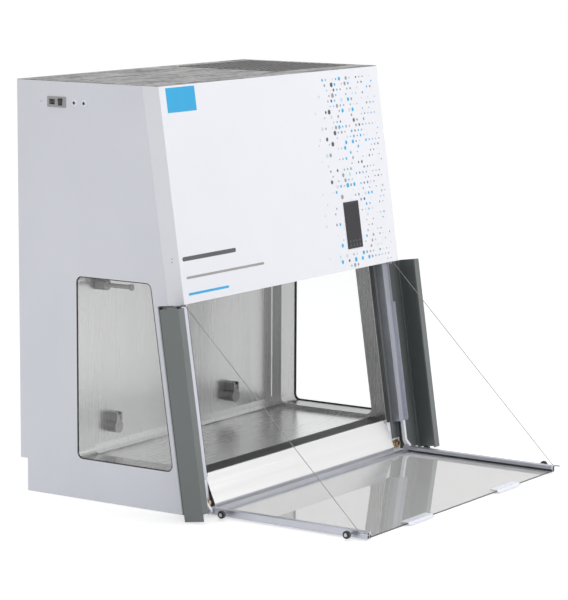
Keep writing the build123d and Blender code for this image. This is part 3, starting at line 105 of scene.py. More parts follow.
def on_slope(x, up, out):
    """Matrix that lays a piece drawn flat at the origin onto the slope at this place."""
    place = Vector((
        x,
        FOOT_Y + up * math.sin(LEAN) - out * math.cos(LEAN),
        up * math.cos(LEAN) + out * math.sin(LEAN),
    ))
    return Matrix.Translation(place) @ Matrix.Rotation(math.radians(90) - LEAN, 4, "X")


print("head starts at", [round(v, 3) for v in on_slope(0, 0.6858, HEAD_OUT).translation])

# %% [markdown]
# ## Small tools for nodes
#
# A material is a small network of nodes, and a few helpers keep the networks readable. An input may
# be a number, a colour or another node's output. `fill` tells them apart, so that the other helpers
# take any of the three. An effect that several materials share is a group, built once and used often.
# Every group hands back the same three things: a colour, a roughness and a height for the bump.

# %% Node helpers
NUMBER = "NodeSocketFloat"
COLOUR = "NodeSocketColor"
VECTOR = "NodeSocketVector"


def fill(tree, socket, value):
    """Link a value that comes from another node, and set any other."""
    if isinstance(value, bpy.types.NodeSocket):
        tree.links.new(value, socket)
    else:
        socket.default_value = value


def add_node(tree, kind, settings=None, **inputs):
    """A node with its settings and its named inputs filled in."""
    node = tree.nodes.new(kind)
    for name, value in (settings or {}).items():
        setattr(node, name, value)
    for name, value in inputs.items():
        fill(tree, node.inputs[name], value)
    return node


def maths(tree, operation, *values):
    """The output of a maths node."""
    node = add_node(tree, "ShaderNodeMath", {"operation": operation})
    for socket, value in zip(node.inputs, values):
        fill(tree, socket, value)
    return node.outputs[0]


def remap(tree, value, low, high, start=0.0, end=1.0):
    """A number moved from one range to another, clamped at both ends."""
    node = add_node(tree, "ShaderNodeMapRange", Value=value)
    for name, number in (("From Min", low), ("From Max", high), ("To Min", start), ("To Max", end)):
        fill(tree, node.inputs[name], number)
    return node.outputs["Result"]


def blend_colours(tree, amount, first, second):
    """A colour mix: the first colour where the amount is 0, the second where it is 1."""
    node = add_node(tree, "ShaderNodeMix", {"data_type": "RGBA"})
    for index, value in zip((0, 6, 7), (amount, first, second)):
        fill(tree, node.inputs[index], value)
    return node.outputs[2]


def noise(tree, place, scale, detail, roughness=0.5):
    """The grey output of a noise texture."""
    texture = add_node(tree, "ShaderNodeTexNoise", Vector=place, Scale=scale, Detail=detail,
                       Roughness=roughness)
    return texture.outputs[0]


def object_place(tree):
    """Coordinates on the part itself, in metres."""
    return add_node(tree, "ShaderNodeTexCoord").outputs["Object"]


def new_group(name, sockets_in):
    """A shader group with these inputs, and a colour, a roughness and a height as its outputs."""
    group = bpy.data.node_groups.new(name, "ShaderNodeTree")
    for label, kind, start in sockets_in:
        socket = group.interface.new_socket(name=label, in_out="INPUT", socket_type=kind)
        socket.default_value = start
    for label, kind in (("Colour", COLOUR), ("Roughness", NUMBER), ("Height", NUMBER)):
        group.interface.new_socket(name=label, in_out="OUTPUT", socket_type=kind)
    return group, group.nodes.new("NodeGroupInput").outputs


def close_group(group, colour, roughness, height):
    """Link a group's three results to its outputs."""
    result = group.nodes.new("NodeGroupOutput")
    for socket, value in zip(result.inputs, (colour, roughness, height)):
        group.links.new(value, socket)


def rgb(red, green, blue):
    """A colour written as it looks on screen, turned into the linear values that shaders use."""
    shares = [value / 255 for value in (red, green, blue)]
    linear = [share / 12.92 if share < 0.0405 else ((share + 0.055) / 1.055) ** 2.4 for share in shares]
    return (*linear, 1.0)


print("node helpers ready")

# %% [markdown]
# ## Sheet paint
#
# Powder coat is never one even colour: the powder lies a little thicker here and there, and it dries
# with a fine orange peel. The group makes both from two noises, a slow one for the cloudiness and a
# fast one for the peel.

# %% Group: powder coat
CLOUDS_PER_METRE = 3.5
PEEL_PER_METRE = 650.0
CLOUD_ROUGHENS = 0.12
PAINT_SHADOW = (0.25, 0.27, 0.33, 1)

paint_group, given = new_group("powder coat", [
    ("Colour", COLOUR, (0.8, 0.8, 0.8, 1)), ("Cloud", NUMBER, 0.04), ("Gloss", NUMBER, 0.4)])
place = object_place(paint_group)
cloud = noise(paint_group, place, CLOUDS_PER_METRE, 3.0)
shade = maths(paint_group, "MULTIPLY", remap(paint_group, cloud, 0.35, 0.65), given["Cloud"])
close_group(
    paint_group,
    blend_colours(paint_group, shade, given["Colour"], PAINT_SHADOW),
    maths(paint_group, "MULTIPLY_ADD", cloud, CLOUD_ROUGHENS, given["Gloss"]),
    noise(paint_group, place, PEEL_PER_METRE, 1.0),
)
print("powder coat:", len(paint_group.nodes), "nodes")

# %% [markdown]
# ## Brushed metal
#
# Stainless sheet is ground with a belt, which leaves fine parallel scratches. A noise that is
# squeezed across the brushing direction draws them. A second, slow noise makes the broad soft bands
# that a belt leaves, and the same scratches roughen the reflection. The stretch is an input, so the
# walls can be brushed upright and the worktop sideways with the same group.

# %% Group: brushed metal
BAND_SHARE = 0.12

brush_group, given = new_group("brushed metal", [
    ("Light", COLOUR, (0.7, 0.7, 0.7, 1)), ("Dark", COLOUR, (0.5, 0.5, 0.5, 1)),
    ("Stretch", VECTOR, (60.0, 60.0, 1.5)), ("Rough Low", NUMBER, 0.2), ("Rough High", NUMBER, 0.35)])
squeezed = add_node(brush_group, "ShaderNodeVectorMath", {"operation": "MULTIPLY"})
for socket, value in zip(squeezed.inputs, (object_place(brush_group), given["Stretch"])):
    fill(brush_group, socket, value)
scratch = noise(brush_group, squeezed.outputs[0], 1.0, 6.0, 0.65)
slow = add_node(brush_group, "ShaderNodeVectorMath", {"operation": "SCALE"}, Vector=squeezed.outputs[0],
                Scale=BAND_SHARE)
bands = noise(brush_group, slow.outputs[0], 1.0, 2.0)
amount = remap(brush_group, maths(brush_group, "ADD", scratch, bands), 0.7, 1.3)
close_group(
    brush_group,
    blend_colours(brush_group, amount, given["Dark"], given["Light"]),
    remap(brush_group, scratch, 0.3, 0.7, given["Rough Low"], given["Rough High"]),
    scratch,
)
print("brushed metal:", len(brush_group.nodes), "nodes")

# %% [markdown]
# ## Galvanised sheet
#
# Zinc freezes on steel in flat crystals. A Voronoi texture gives each crystal its own grey, and a
# streaky noise lays the smears of handling over it. The top of the cabinet shows both at once, so
# the group mixes them and lets the crystals differ in roughness, which is what makes them glint.

# %% Group: zinc crystals
SMEAR_STRETCH = (5.0, 22.0, 8.0)
CRYSTAL_SHARE = 0.3

zinc_group, given = new_group("zinc crystals", [
    ("Light", COLOUR, (0.6, 0.6, 0.6, 1)), ("Dark", COLOUR, (0.3, 0.3, 0.3, 1)),
    ("Crystals", NUMBER, 60.0)])
place = object_place(zinc_group)
crystal = add_node(zinc_group, "ShaderNodeTexVoronoi", Vector=place, Scale=given["Crystals"])
smear_place = add_node(zinc_group, "ShaderNodeMapping", Vector=place, Scale=SMEAR_STRETCH)
smear = noise(zinc_group, smear_place.outputs[0], 1.0, 5.0, 0.6)
grey = maths(zinc_group, "MULTIPLY_ADD", crystal.outputs["Color"], CRYSTAL_SHARE, smear)
close_group(
    zinc_group,
    blend_colours(zinc_group, remap(zinc_group, grey, 0.45, 0.85), given["Dark"], given["Light"]),
    remap(zinc_group, grey, 0.4, 0.9, 0.55, 0.32),
    crystal.outputs["Distance"],
)
print("zinc crystals:", len(zinc_group.nodes), "nodes")

# %% [markdown]
# ## Moulded and pressed surfaces
#
# Rubber, plastic, print and filter paper share one thing: a fine, even grain that breaks up the
# gloss. One group with a grain size and a gloss serves them all.

# %% Group: fine grain
PATCHES_PER_METRE = 9.0
GRAIN_ROUGHENS = 0.15

grain_group, given = new_group("fine grain", [
    ("Colour", COLOUR, (0.1, 0.1, 0.1, 1)), ("Second", COLOUR, (0.2, 0.2, 0.2, 1)),
    ("Size", NUMBER, 400.0), ("Gloss", NUMBER, 0.5)])
place = object_place(grain_group)
grain = noise(grain_group, place, given["Size"], 3.0)
patches = noise(grain_group, place, PATCHES_PER_METRE, 2.0)
amount = remap(grain_group, maths(grain_group, "MULTIPLY", grain, patches), 0.1, 0.45)
close_group(
    grain_group,
    blend_colours(grain_group, amount, given["Colour"], given["Second"]),
    maths(grain_group, "MULTIPLY_ADD", grain, GRAIN_ROUGHENS, given["Gloss"]),
    grain,
)
print("fine grain:", len(grain_group.nodes), "nodes")

# %% [markdown]
# ## From group to material
#
# Every finish is now the same short recipe: a Principled shader, one group in front of it, and a
# bump node between the group's height and the shader's normal. What is the same all over the
# surface, such as whether it is metal, is set on the shader itself. Bump depths are in metres, so
# a hundredth of a millimetre is 0.00001. Three small functions name the families of finish, each
# with only the values in which its members differ.

# %% Finish helpers
finish = {}


def dressed(name, group, bump, values, **shader_values):
    """A material whose colour, roughness and fine relief come from one group."""
    material = bpy.data.materials.new(name)
    material.use_nodes = True
    tree = material.node_tree
    shader = tree.nodes["Principled BSDF"]
    source = tree.nodes.new("ShaderNodeGroup")
    source.node_tree = group
    for label, value in values.items():
        source.inputs[label].default_value = value
    relief = add_node(tree, "ShaderNodeBump", Strength=1.0, Distance=bump, Height=source.outputs["Height"])
    tree.links.new(source.outputs["Colour"], shader.inputs["Base Color"])
    tree.links.new(source.outputs["Roughness"], shader.inputs["Roughness"])
    tree.links.new(relief.outputs["Normal"], shader.inputs["Normal"])
    for label, value in shader_values.items():
        shader.inputs[label].default_value = value
    finish[name] = material


def painted(name, colour, cloud, gloss, bump=0.00002, metallic=0.0):
    """Powder coat of one colour."""
    values = {"Colour": rgb(*colour), "Cloud": cloud, "Gloss": gloss}
    dressed(name, paint_group, bump, values, Metallic=metallic)


def brushed(name, light, dark, stretch, rough, bump=0.00001, metallic=1.0):
    """Ground metal between two greys and two roughnesses."""
    values = {"Light": rgb(*light), "Dark": rgb(*dark), "Stretch": stretch,
              "Rough Low": rough[0], "Rough High": rough[1]}
    dressed(name, brush_group, bump, values, Metallic=metallic)


def moulded(name, first, second, size, gloss, bump=0.00001, **shader_values):
    """Plastic, rubber, paper or print between two close colours."""
    values = {"Colour": rgb(*first), "Second": rgb(*second), "Size": size, "Gloss": gloss}
    dressed(name, grain_group, bump, values, **shader_values)


print("finish helpers ready")

# %% [markdown]
# ## Painted sheets
#
# The head is a clean cool white. The body is the same powder, but its colour is set a little greyer
# as painted shade on the sides, which face away from the main light. The rolled posts
# are a dull olive grey with a little metal in it, and the hinge arms are plain white.

# %% Paint finishes
painted("white_paint", (239, 240, 246), 0.03, 0.30)
# the head's white made a little greyer: painted shade on the side panels
painted("side_paint", (230, 232, 240), 0.05, 0.34)
painted("white_arm", (240, 243, 248), 0.04, 0.30)
painted("olive_steel", (106, 111, 110), 0.10, 0.30, bump=0.00003, metallic=0.35)
print(len(finish), "paints")

# %% [markdown]
# ## Bare metals
#
# The same brushing group covers the chamber, the bright apron, the anodised sash and the small
# turned parts. The chamber walls and the level sheets are one stainless: the walls take a darker grey
# as painted shade inside the chamber, the level sheets a lighter grey as painted light. A small number
# in the stretch is the direction of brushing. The turned parts have three equal numbers, because
# their tool marks run round and show as an even grain.

# %% Metal finishes
# the chamber walls: a darker copy of the stainless, as painted shade inside the chamber
brushed("stainless", (186, 186, 186), (181, 181, 181), (160.0, 160.0, 0.8), (0.25, 0.28))
# the level sheets: a lighter copy of the same stainless, as painted light
brushed("worktop", (238, 238, 238), (232, 232, 232), (0.9, 80.0, 40.0), (0.25, 0.28))
brushed("stainless_bright", (234, 234, 234), (226, 226, 226), (1.0, 80.0, 80.0), (0.18, 0.28))
# near white, brighter than the stainless: a painted highlight for the corner bead
brushed("corner_highlight_bead", (252, 252, 252), (240, 240, 240), (200.0, 200.0, 60.0), (0.35, 0.50), bump=0.00002)
brushed("anodised", (196, 198, 208), (180, 182, 191), (90.0, 4.0, 4.0), (0.30, 0.40), metallic=0.85)
brushed("steel", (196, 198, 201), (165, 167, 170), (300.0, 300.0, 300.0), (0.25, 0.40))
brushed("outlet_steel", (150, 150, 149), (118, 118, 118), (260.0, 260.0, 260.0), (0.30, 0.50), bump=0.00004)
brushed("cable", (170, 170, 168), (128, 128, 127), (400.0, 400.0, 400.0), (0.30, 0.45))
brushed("brass", (226, 204, 170), (180, 150, 116), (200.0, 200.0, 200.0), (0.25, 0.40), bump=0.00002)
zinc = {"Light": rgb(154, 152, 152), "Dark": rgb(92, 91, 91), "Crystals": 70.0}
dressed("galvanised", zinc_group, 0.00003, zinc, Metallic=1.0)
print(len(finish), "finishes so far")

# %% [markdown]
# ## Rubber, plastic and paper
#
# Black parts are never black: the two greys keep some light in them. The lamp's diffuser glows.

# %% Moulded finishes
moulded("rubber", (36, 36, 37), (66, 66, 67), 500.0, 0.50, bump=0.00004)
moulded("black_plastic", (40, 40, 44), (56, 56, 61), 600.0, 0.32, bump=0.00002)
moulded("dark_mesh", (62, 62, 62), (86, 86, 86), 420.0, 0.42, bump=0.00005)
moulded("display", (26, 25, 30), (34, 33, 39), 300.0, 0.16)
moulded("grey_plastic", (158, 158, 158), (176, 176, 175), 500.0, 0.35, bump=0.00002)
moulded("strip_plastic", (238, 240, 250), (246, 247, 252), 300.0, 0.20)
moulded("filter", (232, 232, 226), (246, 246, 242), 700.0, 0.70, bump=0.00008)
moulded("lamp", (244, 244, 240), (250, 250, 247), 200.0, 0.25,
        **{"Emission Color": (1, 1, 0.97, 1), "Emission Strength": 2.0})
print(len(finish), "finishes so far")

# %% [markdown]
# ## Print and screen
#
# Print is the same smooth grain with almost no relief. The screen reflects a little less than
# plastic does, because a display front is coated against glare.

# %% Print finishes
INK_BUMP = 0.000005
moulded("blue_print", (12, 166, 222), (20, 176, 230), 200.0, 0.25, bump=INK_BUMP)
moulded("dark_print", (70, 70, 74), (84, 84, 88), 200.0, 0.30, bump=INK_BUMP)
moulded("grey_print", (150, 148, 146), (164, 162, 160), 200.0, 0.30, bump=INK_BUMP)
moulded("pale_print", (186, 218, 232), (200, 226, 238), 200.0, 0.30, bump=INK_BUMP)
moulded("faint_print", (214, 213, 218), (222, 221, 226), 200.0, 0.30, bump=INK_BUMP)
moulded("key_print", (70, 71, 77), (80, 81, 87), 200.0, 0.30, bump=INK_BUMP)
moulded("screen_glass", (36, 35, 41), (43, 42, 49), 90.0, 0.30, bump=INK_BUMP,
        **{"Specular IOR Level": 0.3})
print(len(finish), "finishes so far")

# %% [markdown]
# ## Glass
#
# The panes are 4 to 5 mm thick, and the folded sash shows that its glass is grey. A Principled
# shader with full transmission bends and tints the light as the real pane does. Light from the
# lamps can't find its way through a refracting solid, so for shadow rays alone the pane is swapped
# for a plain transparent shader. A trace of dust in the roughness keeps the pane from being
# mathematically perfect.

# %% Glass finishes
DUST_ROUGHNESS = 0.004
GLASS_IOR = 1.5


def glazing(name, tint, shadow_tint):
    """Sheet glass of one tint."""
    material = bpy.data.materials.new(name)
    material.use_nodes = True
    tree = material.node_tree
    shader = tree.nodes["Principled BSDF"]
    shader.inputs["Base Color"].default_value = tint
    shader.inputs["Transmission Weight"].default_value = 1.0
    shader.inputs["IOR"].default_value = GLASS_IOR
    dust = remap(tree, noise(tree, object_place(tree), 14.0, 4.0), 0.4, 0.75, 0.0, DUST_ROUGHNESS)
    tree.links.new(dust, shader.inputs["Roughness"])
    clear = add_node(tree, "ShaderNodeBsdfTransparent", Color=shadow_tint)
    path = tree.nodes.new("ShaderNodeLightPath")
    swap = tree.nodes.new("ShaderNodeMixShader")
    parts = (path.outputs["Is Shadow Ray"], shader.outputs[0], clear.outputs[0])
    for socket, value in zip(swap.inputs, parts):
        tree.links.new(value, socket)
    tree.links.new(swap.outputs[0], tree.nodes["Material Output"].inputs["Surface"])
    finish[name] = material


glazing("glass", (0.97, 0.98, 0.975, 1), (0.95, 0.96, 0.955, 1))
glazing("sash_glass", (0.61, 0.61, 0.608, 1), (0.86, 0.865, 0.86, 1))
print(len(finish), "finishes in all")

# %% [markdown]
# ## Dressing the model
#
# The record names a finish for each part, so one loop dresses all of them. A few parts share a
# slot in the record but look different: the level sheets are brushed sideways and a lighter grey as
# painted light, the sash pane is the greyer glass, and the fuse holders are white.

# %% Assign the finishes
worn = {row["node"]: row["material_slot"] for row in frame["record"]["subparts"]}
# level sheets: brushed sideways, in a lighter grey that is painted light
worn.update({name: "worktop" for name in ("work_surface", "spill_tray", "ceiling_diffuser")})
worn["sash_pane"] = "sash_glass"
worn["fuse_holders"] = "strip_plastic"
for name, node in frame["nodes"].items():
    node.data.materials.clear()
    node.data.materials.append(finish[worn[name]])
print("dressed", len(worn), "parts in", len(set(worn.values())), "finishes")

# %% [markdown]
# ## Making new pieces
#
# New pieces start as a bmesh, are shaped by its operators, and end here: the mesh gets its object,
# its material and the body it moves with.

# %% Piece helper


def finish_piece(name, shape, body, materials):
    """Turn a bmesh into a piece of the cabinet."""
    bmesh.ops.recalc_face_normals(shape, faces=shape.faces)
    mesh = bpy.data.meshes.new(name)
    shape.to_mesh(mesh)
    shape.free()
    for material in materials:
        mesh.materials.append(material)
    piece = bpy.data.objects.new(name, mesh)
    bpy.context.scene.collection.objects.link(piece)
    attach(piece, body)
    return piece


def raise_faces(shape, faces, height):
    """Give flat faces a thickness by pushing a copy of them out along Z. Returns the new corners."""
    pushed = bmesh.ops.extrude_face_region(shape, geom=faces, use_keep_orig=True)
    moved = [item for item in pushed["geom"] if isinstance(item, bmesh.types.BMVert)]
    bmesh.ops.translate(shape, verts=moved, vec=(0, 0, height))
    return moved


print("piece helper ready")

# %% [markdown]
# ## The stay cables
#
# Two thin wire ropes hold the folded sash. They are pulled tight, so each is a straight line from
# the stud at the top of the carriage to the ferrule at the sash's free corner. The line is a
# smooth curve. The twist could be faked with a bump, but six real strands wound about the line
# cost little and keep their form when seen close.

# %% Wire rope
ROPE_RADIUS = 0.0012
STRANDS = 6
STRAND_RADIUS = 0.00042
TWIST_LENGTH = 0.022
STEPS_PER_TURN = 10
STUD_RADIUS = 0.003
STUD_CLEARANCE = 0.0001
TOP_INSET, TOP_UP, TOP_OUT = 0.0192, 0.6883, 0.0482
FOOT_INSET, FERRULE_Y, FERRULE_Z = 0.028, -0.976, 0.024
ROUTE_POINTS = 6


def route_curve(name, start, end):
    """The rope's line as a smooth curve through evenly spaced points."""
    data = bpy.data.curves.new(name, "CURVE")
    data.dimensions = "3D"
    data.resolution_u = 24
    spline = data.splines.new("NURBS")
    spline.points.add(ROUTE_POINTS - 1)
    for index, point in enumerate(spline.points):
        point.co = (*start.lerp(end, index / (ROUTE_POINTS - 1)), 1)
    spline.order_u = 3
    spline.use_endpoint_u = True
    return bpy.data.objects.new(name, data)


def read_route(curve):
    """Points along the curve, from start to end."""
    line = bpy.data.meshes.new_from_object(curve)
    return [vertex.co.copy() for vertex in line.vertices]


def twist_strands(name, route):
    """Six strands wound about the route, as one mesh."""
    data = bpy.data.curves.new(name, "CURVE")
    data.dimensions = "3D"
    data.bevel_depth = STRAND_RADIUS
    data.bevel_resolution = 1
    data.use_fill_caps = True
    along = (route[-1] - route[0]).normalized()
    side = along.cross(Vector((1, 0, 0))).normalized()
    lift = along.cross(side)
    reach = ROPE_RADIUS - STRAND_RADIUS
    length = (route[-1] - route[0]).length
    steps = int(length / TWIST_LENGTH * STEPS_PER_TURN)
    for strand in range(STRANDS):
        spline = data.splines.new("POLY")
        spline.points.add(steps)
        for index, point in enumerate(spline.points):
            run = length * index / steps
            angle = math.tau * (run / TWIST_LENGTH + strand / STRANDS)
            offset = side * math.cos(angle) * reach + lift * math.sin(angle) * reach
            point.co = (*(route[0] + along * run + offset), 1)
    wound = bpy.data.objects.new(name, data)
    bpy.context.scene.collection.objects.link(wound)
    mesh = bpy.data.meshes.new_from_object(wound)
    bpy.data.objects.remove(wound)
    return mesh


for name, side in (("left_stay_cable", -1), ("right_stay_cable", 1)):
    top = on_slope(side * (HALF_WIDTH - TOP_INSET), TOP_UP, TOP_OUT).translation
    foot = Vector((side * (HALF_WIDTH - FOOT_INSET), FERRULE_Y, FERRULE_Z))
    pull = (foot - top).normalized()
    start = top + pull * (STUD_RADIUS + STUD_CLEARANCE)
    curve = route_curve(name + "_line", start, foot)
    bpy.context.scene.collection.objects.link(curve)
    route = read_route(curve)
    bpy.data.objects.remove(curve)
    mesh = twist_strands(name, route)
    mesh.materials.clear()
    mesh.materials.append(finish["cable"])
    cable = bpy.data.objects.new(name, mesh)
    bpy.context.scene.collection.objects.link(cable)
    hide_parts("stay_cables")
    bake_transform(cable)
    print(name, "is", round((foot - start).length, 3), "m long,", len(mesh.polygons), "faces")

# %% [markdown]
# ## Plain print on the head
#
# The head carries a printed plate and three printed lines. Here the plate is a plain blue field and
# each line is a slim bar of the line's colour and length. Printed vinyl has a thickness of about a
# tenth of a millimetre, so each is a flat outline with its corners rounded by a vertex bevel and
# then raised a little, which casts no shadow but catches the light along its edge.

# %% Plate and bars
PRINT_LIFT = 0.0002


def rounded_plate(width, height, corner, thickness):
    """A flat plate with rounded corners, its lower left corner at the origin."""
    shape = bmesh.new()
    bmesh.ops.create_grid(shape, x_segments=1, y_segments=1, size=0.5)
    bmesh.ops.translate(shape, verts=shape.verts, vec=(0.5, 0.5, 0))
    bmesh.ops.scale(shape, verts=shape.verts, vec=(width, height, 1))
    bmesh.ops.bevel(shape, geom=shape.verts[:], offset=corner, segments=4, profile=0.5, affect="VERTICES",
                    material=-1)
    raise_faces(shape, shape.faces[:], thickness)
    return shape


PRINTS = (
    ("blue_plate", -0.616, 1.297, 0.157, 0.080, 0.001, "blue_print"),
    ("print_bar_dark", -0.632, 0.822, 0.297, 0.014, 0.0069, "dark_print"),
    ("print_bar_grey", -0.621, 0.764, 0.437, 0.008, 0.0039, "grey_print"),
    ("print_bar_blue", -0.620, 0.711, 0.223, 0.008, 0.0039, "blue_print"),
)
for name, x, up, width, height, corner, ink in PRINTS:
    shape = rounded_plate(width, height, corner, PRINT_LIFT)
    bmesh.ops.transform(shape, matrix=on_slope(x, up, HEAD_OUT), verts=shape.verts)
    finish_piece(name, shape, "cabinet", [finish[ink]])
print(len(PRINTS), "printed fields")

# %% [markdown]
# ## The printed field on the right
#
# The right end of the head carries a loose field of small printed shapes, dense at the right and
# fading out to the left. This one is a honeycomb of hexagons: solid ones and open ones, in blue,
# greys and near black. A honeycomb row is shifted by half a step against the next, and a seeded
# draw decides for each cell whether it is printed, how large and in which colour, so the field
# comes out the same each time. Cells under the display are left out.

# %% Hexagon field
CELL = 0.0215
FIELD_LEFT, FIELD_RIGHT = 0.215, 0.640
FIELD_LOW, FIELD_HIGH = 0.700, 1.386
DISPLAY_AREA = (0.326, 0.435, 0.748, 0.932)
SIZES = (0.0030, 0.0042, 0.0056, 0.0076, 0.0092)
DISPLAY_MARGIN = 0.008
ROW_STEP = CELL * 0.866
RING_SHARE = 0.26
MOST_PRINTED = 0.92
PALE_SHARE = 0.16
PEAK_SHARE = 0.38
INKS = ("blue_print", "dark_print", "grey_print", "pale_print", "faint_print")
INK_LIMITS = (0.24, 0.38, 0.62, 0.78)
FIRST_PALE_INK = 3
PALE_RINGS, STRONG_RINGS = 0.75, 0.12


def print_hexagon(shape, x, up, radius, ink, hollow):
    """One hexagon, solid or as a ring, standing a hair above the panel."""
    made = bmesh.ops.create_circle(shape, cap_ends=True, segments=6, radius=radius)
    face = made["verts"][0].link_faces[0]
    if hollow:
        rim = bmesh.ops.inset_region(shape, faces=[face], thickness=radius * RING_SHARE)["faces"]
        bmesh.ops.delete(shape, geom=[face], context="FACES_ONLY")
        faces = rim
    else:
        faces = [face]
    for part in faces:
        part.material_index = ink
    verts = list({vertex for part in faces for vertex in part.verts})
    lifted = raise_faces(shape, faces, PRINT_LIFT)
    bmesh.ops.translate(shape, verts=verts + lifted, vec=(x, up, 0))


draw = random.Random(11)
field = bmesh.new()
printed = 0
left, right, low, high = DISPLAY_AREA
rows = int((FIELD_HIGH - FIELD_LOW) / ROW_STEP)
columns = int((FIELD_RIGHT - FIELD_LEFT) / CELL)
for row in range(rows):
    for column in range(columns):
        x = FIELD_LEFT + (column + 0.5 * (row % 2)) * CELL
        up = FIELD_LOW + row * ROW_STEP
        share = (column + 1) / columns
        chance, size, tint, ring = draw.random(), draw.random(), draw.random(), draw.random()
        beside = left - DISPLAY_MARGIN < x < right + DISPLAY_MARGIN
        hidden = beside and low - DISPLAY_MARGIN < up < high + DISPLAY_MARGIN
        if hidden or x > FIELD_RIGHT or chance > min(MOST_PRINTED, 0.25 + 1.3 * share):
            continue
        peak = 1 - abs(share - PEAK_SHARE) * 1.3
        radius = SIZES[min(4, int(size * 5 * max(0.25, peak)))]
        if share < PALE_SHARE:
            ink = FIRST_PALE_INK + int(tint * 2)
        else:
            ink = sum(tint >= limit for limit in INK_LIMITS)
        rings = PALE_RINGS if ink >= FIRST_PALE_INK else STRONG_RINGS
        print_hexagon(field, x, up, radius, ink, ring < rings)
        printed += 1
bmesh.ops.transform(field, matrix=on_slope(0, 0, HEAD_OUT), verts=field.verts)
finish_piece("hexagon_field", field, "cabinet", [finish[ink] for ink in INKS])
print(printed, "hexagons printed")

# %% [markdown]
# ## The display
#
# The control display is one dark glass front: a black rim, a slightly lighter screen set in it and
# a strip of touch keys along its foot. The screen is a plate a fraction of a millimetre proud of
# the rim with rounded corners, and the keys are shallow round pads that taper a little.

# %% Display face
DISPLAY_LEFT, DISPLAY_RIGHT, DISPLAY_LOW, DISPLAY_HIGH = 0.333, 0.428, 0.758, 0.922
DISPLAY_OUT = HEAD_OUT + 0.0016
SCREEN_RIM = 0.007
SCREEN_CORNER = 0.002
SCREEN_LIFT = 0.0004
screen_width = DISPLAY_RIGHT - DISPLAY_LEFT - 2 * SCREEN_RIM
screen_height = DISPLAY_HIGH - DISPLAY_LOW - 2 * SCREEN_RIM
screen = rounded_plate(screen_width, screen_height, SCREEN_CORNER, SCREEN_LIFT)
screen_place = on_slope(DISPLAY_LEFT + SCREEN_RIM, DISPLAY_LOW + SCREEN_RIM, DISPLAY_OUT)
bmesh.ops.transform(screen, matrix=screen_place, verts=screen.verts)
finish_piece("display_screen", screen, "cabinet", [finish["screen_glass"]])
keys = bmesh.new()
KEY_ROWS = (0.012, 0.026)
KEYS_IN_ROW = 4
KEY_FOOT, KEY_TOP, KEY_HEIGHT = 0.0042, 0.0038, 0.0004
KEY_LIFT = 0.0006
key_step = (DISPLAY_RIGHT - DISPLAY_LEFT) / (KEYS_IN_ROW + 0.8)
for height in KEY_ROWS:
    for index in range(KEYS_IN_ROW):
        key_x = DISPLAY_LEFT + (index + 0.9) * key_step
        made = bmesh.ops.create_cone(keys, cap_ends=True, segments=20, radius1=KEY_FOOT, radius2=KEY_TOP,
                                     depth=KEY_HEIGHT)
        bmesh.ops.transform(keys, matrix=on_slope(key_x, DISPLAY_LOW + height, DISPLAY_OUT + KEY_LIFT),
                            verts=made["verts"])
finish_piece("display_keys", keys, "cabinet", [finish["key_print"]])
print("display face made")

# %% [markdown]
# ## Shade in the fuse holders
#
# The two round fuse holders are white. The black disc in the middle of each is painted shade in
# the holder's hollow centre, which also stands for its small slot. Their place and size are read from
# the model's own box, so the discs follow them wherever they sit.

# %% Fuse holder shade
SHADE_DISC_SHARE = 0.42
SHADE_DISC_PROUD = 0.0003
holders_low, holders_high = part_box("fuse_holders")
holder_radius = (holders_high.z - holders_low.z) / 2
shade_discs = bmesh.new()
for holder_y in (holders_low.y + holder_radius, holders_high.y - holder_radius):
    made = bmesh.ops.create_cone(shade_discs, cap_ends=True, segments=24, radius1=holder_radius * SHADE_DISC_SHARE,
                                 radius2=holder_radius * SHADE_DISC_SHARE, depth=2 * SHADE_DISC_PROUD)
    bmesh.ops.rotate(shade_discs, verts=made["verts"], matrix=Matrix.Rotation(math.radians(90), 3, "Y"))
    bmesh.ops.translate(shade_discs, verts=made["verts"],
                        vec=(holders_low.x, holder_y, (holders_low.z + holders_high.z) / 2))
# black discs: painted shade in each holder's hollow centre, standing also for its slot
finish_piece("fuse_centre_shade", shade_discs, "cabinet", [finish["black_plastic"]])
print("two caps of radius", round(holder_radius * SHADE_DISC_SHARE, 4))

# %% [markdown]
# ## Weld beads in the chamber corners
#
# The back wall and the side liners meet in an upright bead of weld. Its near-white grey is a
# painted highlight: it draws the thin light line that runs down the right-hand corner. A cylinder
# sunk half into the corner gives it.

# %% Corner beads
BEAD_RADIUS = 0.0022
BEAD_FOOT = 0.153
BEAD_END_GAP = 0.002
BEAD_INSET = 0.0004
WALL_SHEET = 0.0015
BEAD_FORWARD = 0.0002
wall_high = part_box("chamber_back")[1]
beads = bmesh.new()
for side in (-1, 1):
    made = bmesh.ops.create_cone(beads, cap_ends=True, segments=16, radius1=BEAD_RADIUS, radius2=BEAD_RADIUS,
                                 depth=wall_high.z - BEAD_FOOT - BEAD_END_GAP)
    corner = Vector((
        side * (wall_high.x - BEAD_INSET),
        wall_high.y - WALL_SHEET - BEAD_FORWARD,
        (wall_high.z + BEAD_FOOT) / 2,
    ))
    bmesh.ops.translate(beads, verts=made["verts"], vec=corner)
finish_piece("corner_beads", beads, "cabinet", [finish["corner_highlight_bead"]])
print("beads from", BEAD_FOOT, "to", round(wall_high.z, 3))

# %% [markdown]
# ## The studio
#
# A large pale floor under a white sky. The background has to be pure white, but a floor bright
# enough for that would flood the cabinet with light. So the floor and the sky show white only to
# the rays that look at them, from the camera, in a reflection or through glass, and light the
# object at a plain level. The floor keeps the soft shadow that grounds the object.

# %% Floor
FLOOR_HALF = 12
FLOOR_DROP = 0.0005
floor_shape = bmesh.new()
bmesh.ops.create_grid(floor_shape, x_segments=1, y_segments=1, size=FLOOR_HALF)
floor_mesh = bpy.data.meshes.new("floor")
floor_shape.to_mesh(floor_mesh)
floor_shape.free()
floor = bpy.data.objects.new("floor", floor_mesh)
floor.location = (0, 0, -FLOOR_DROP)
bpy.context.scene.collection.objects.link(floor)


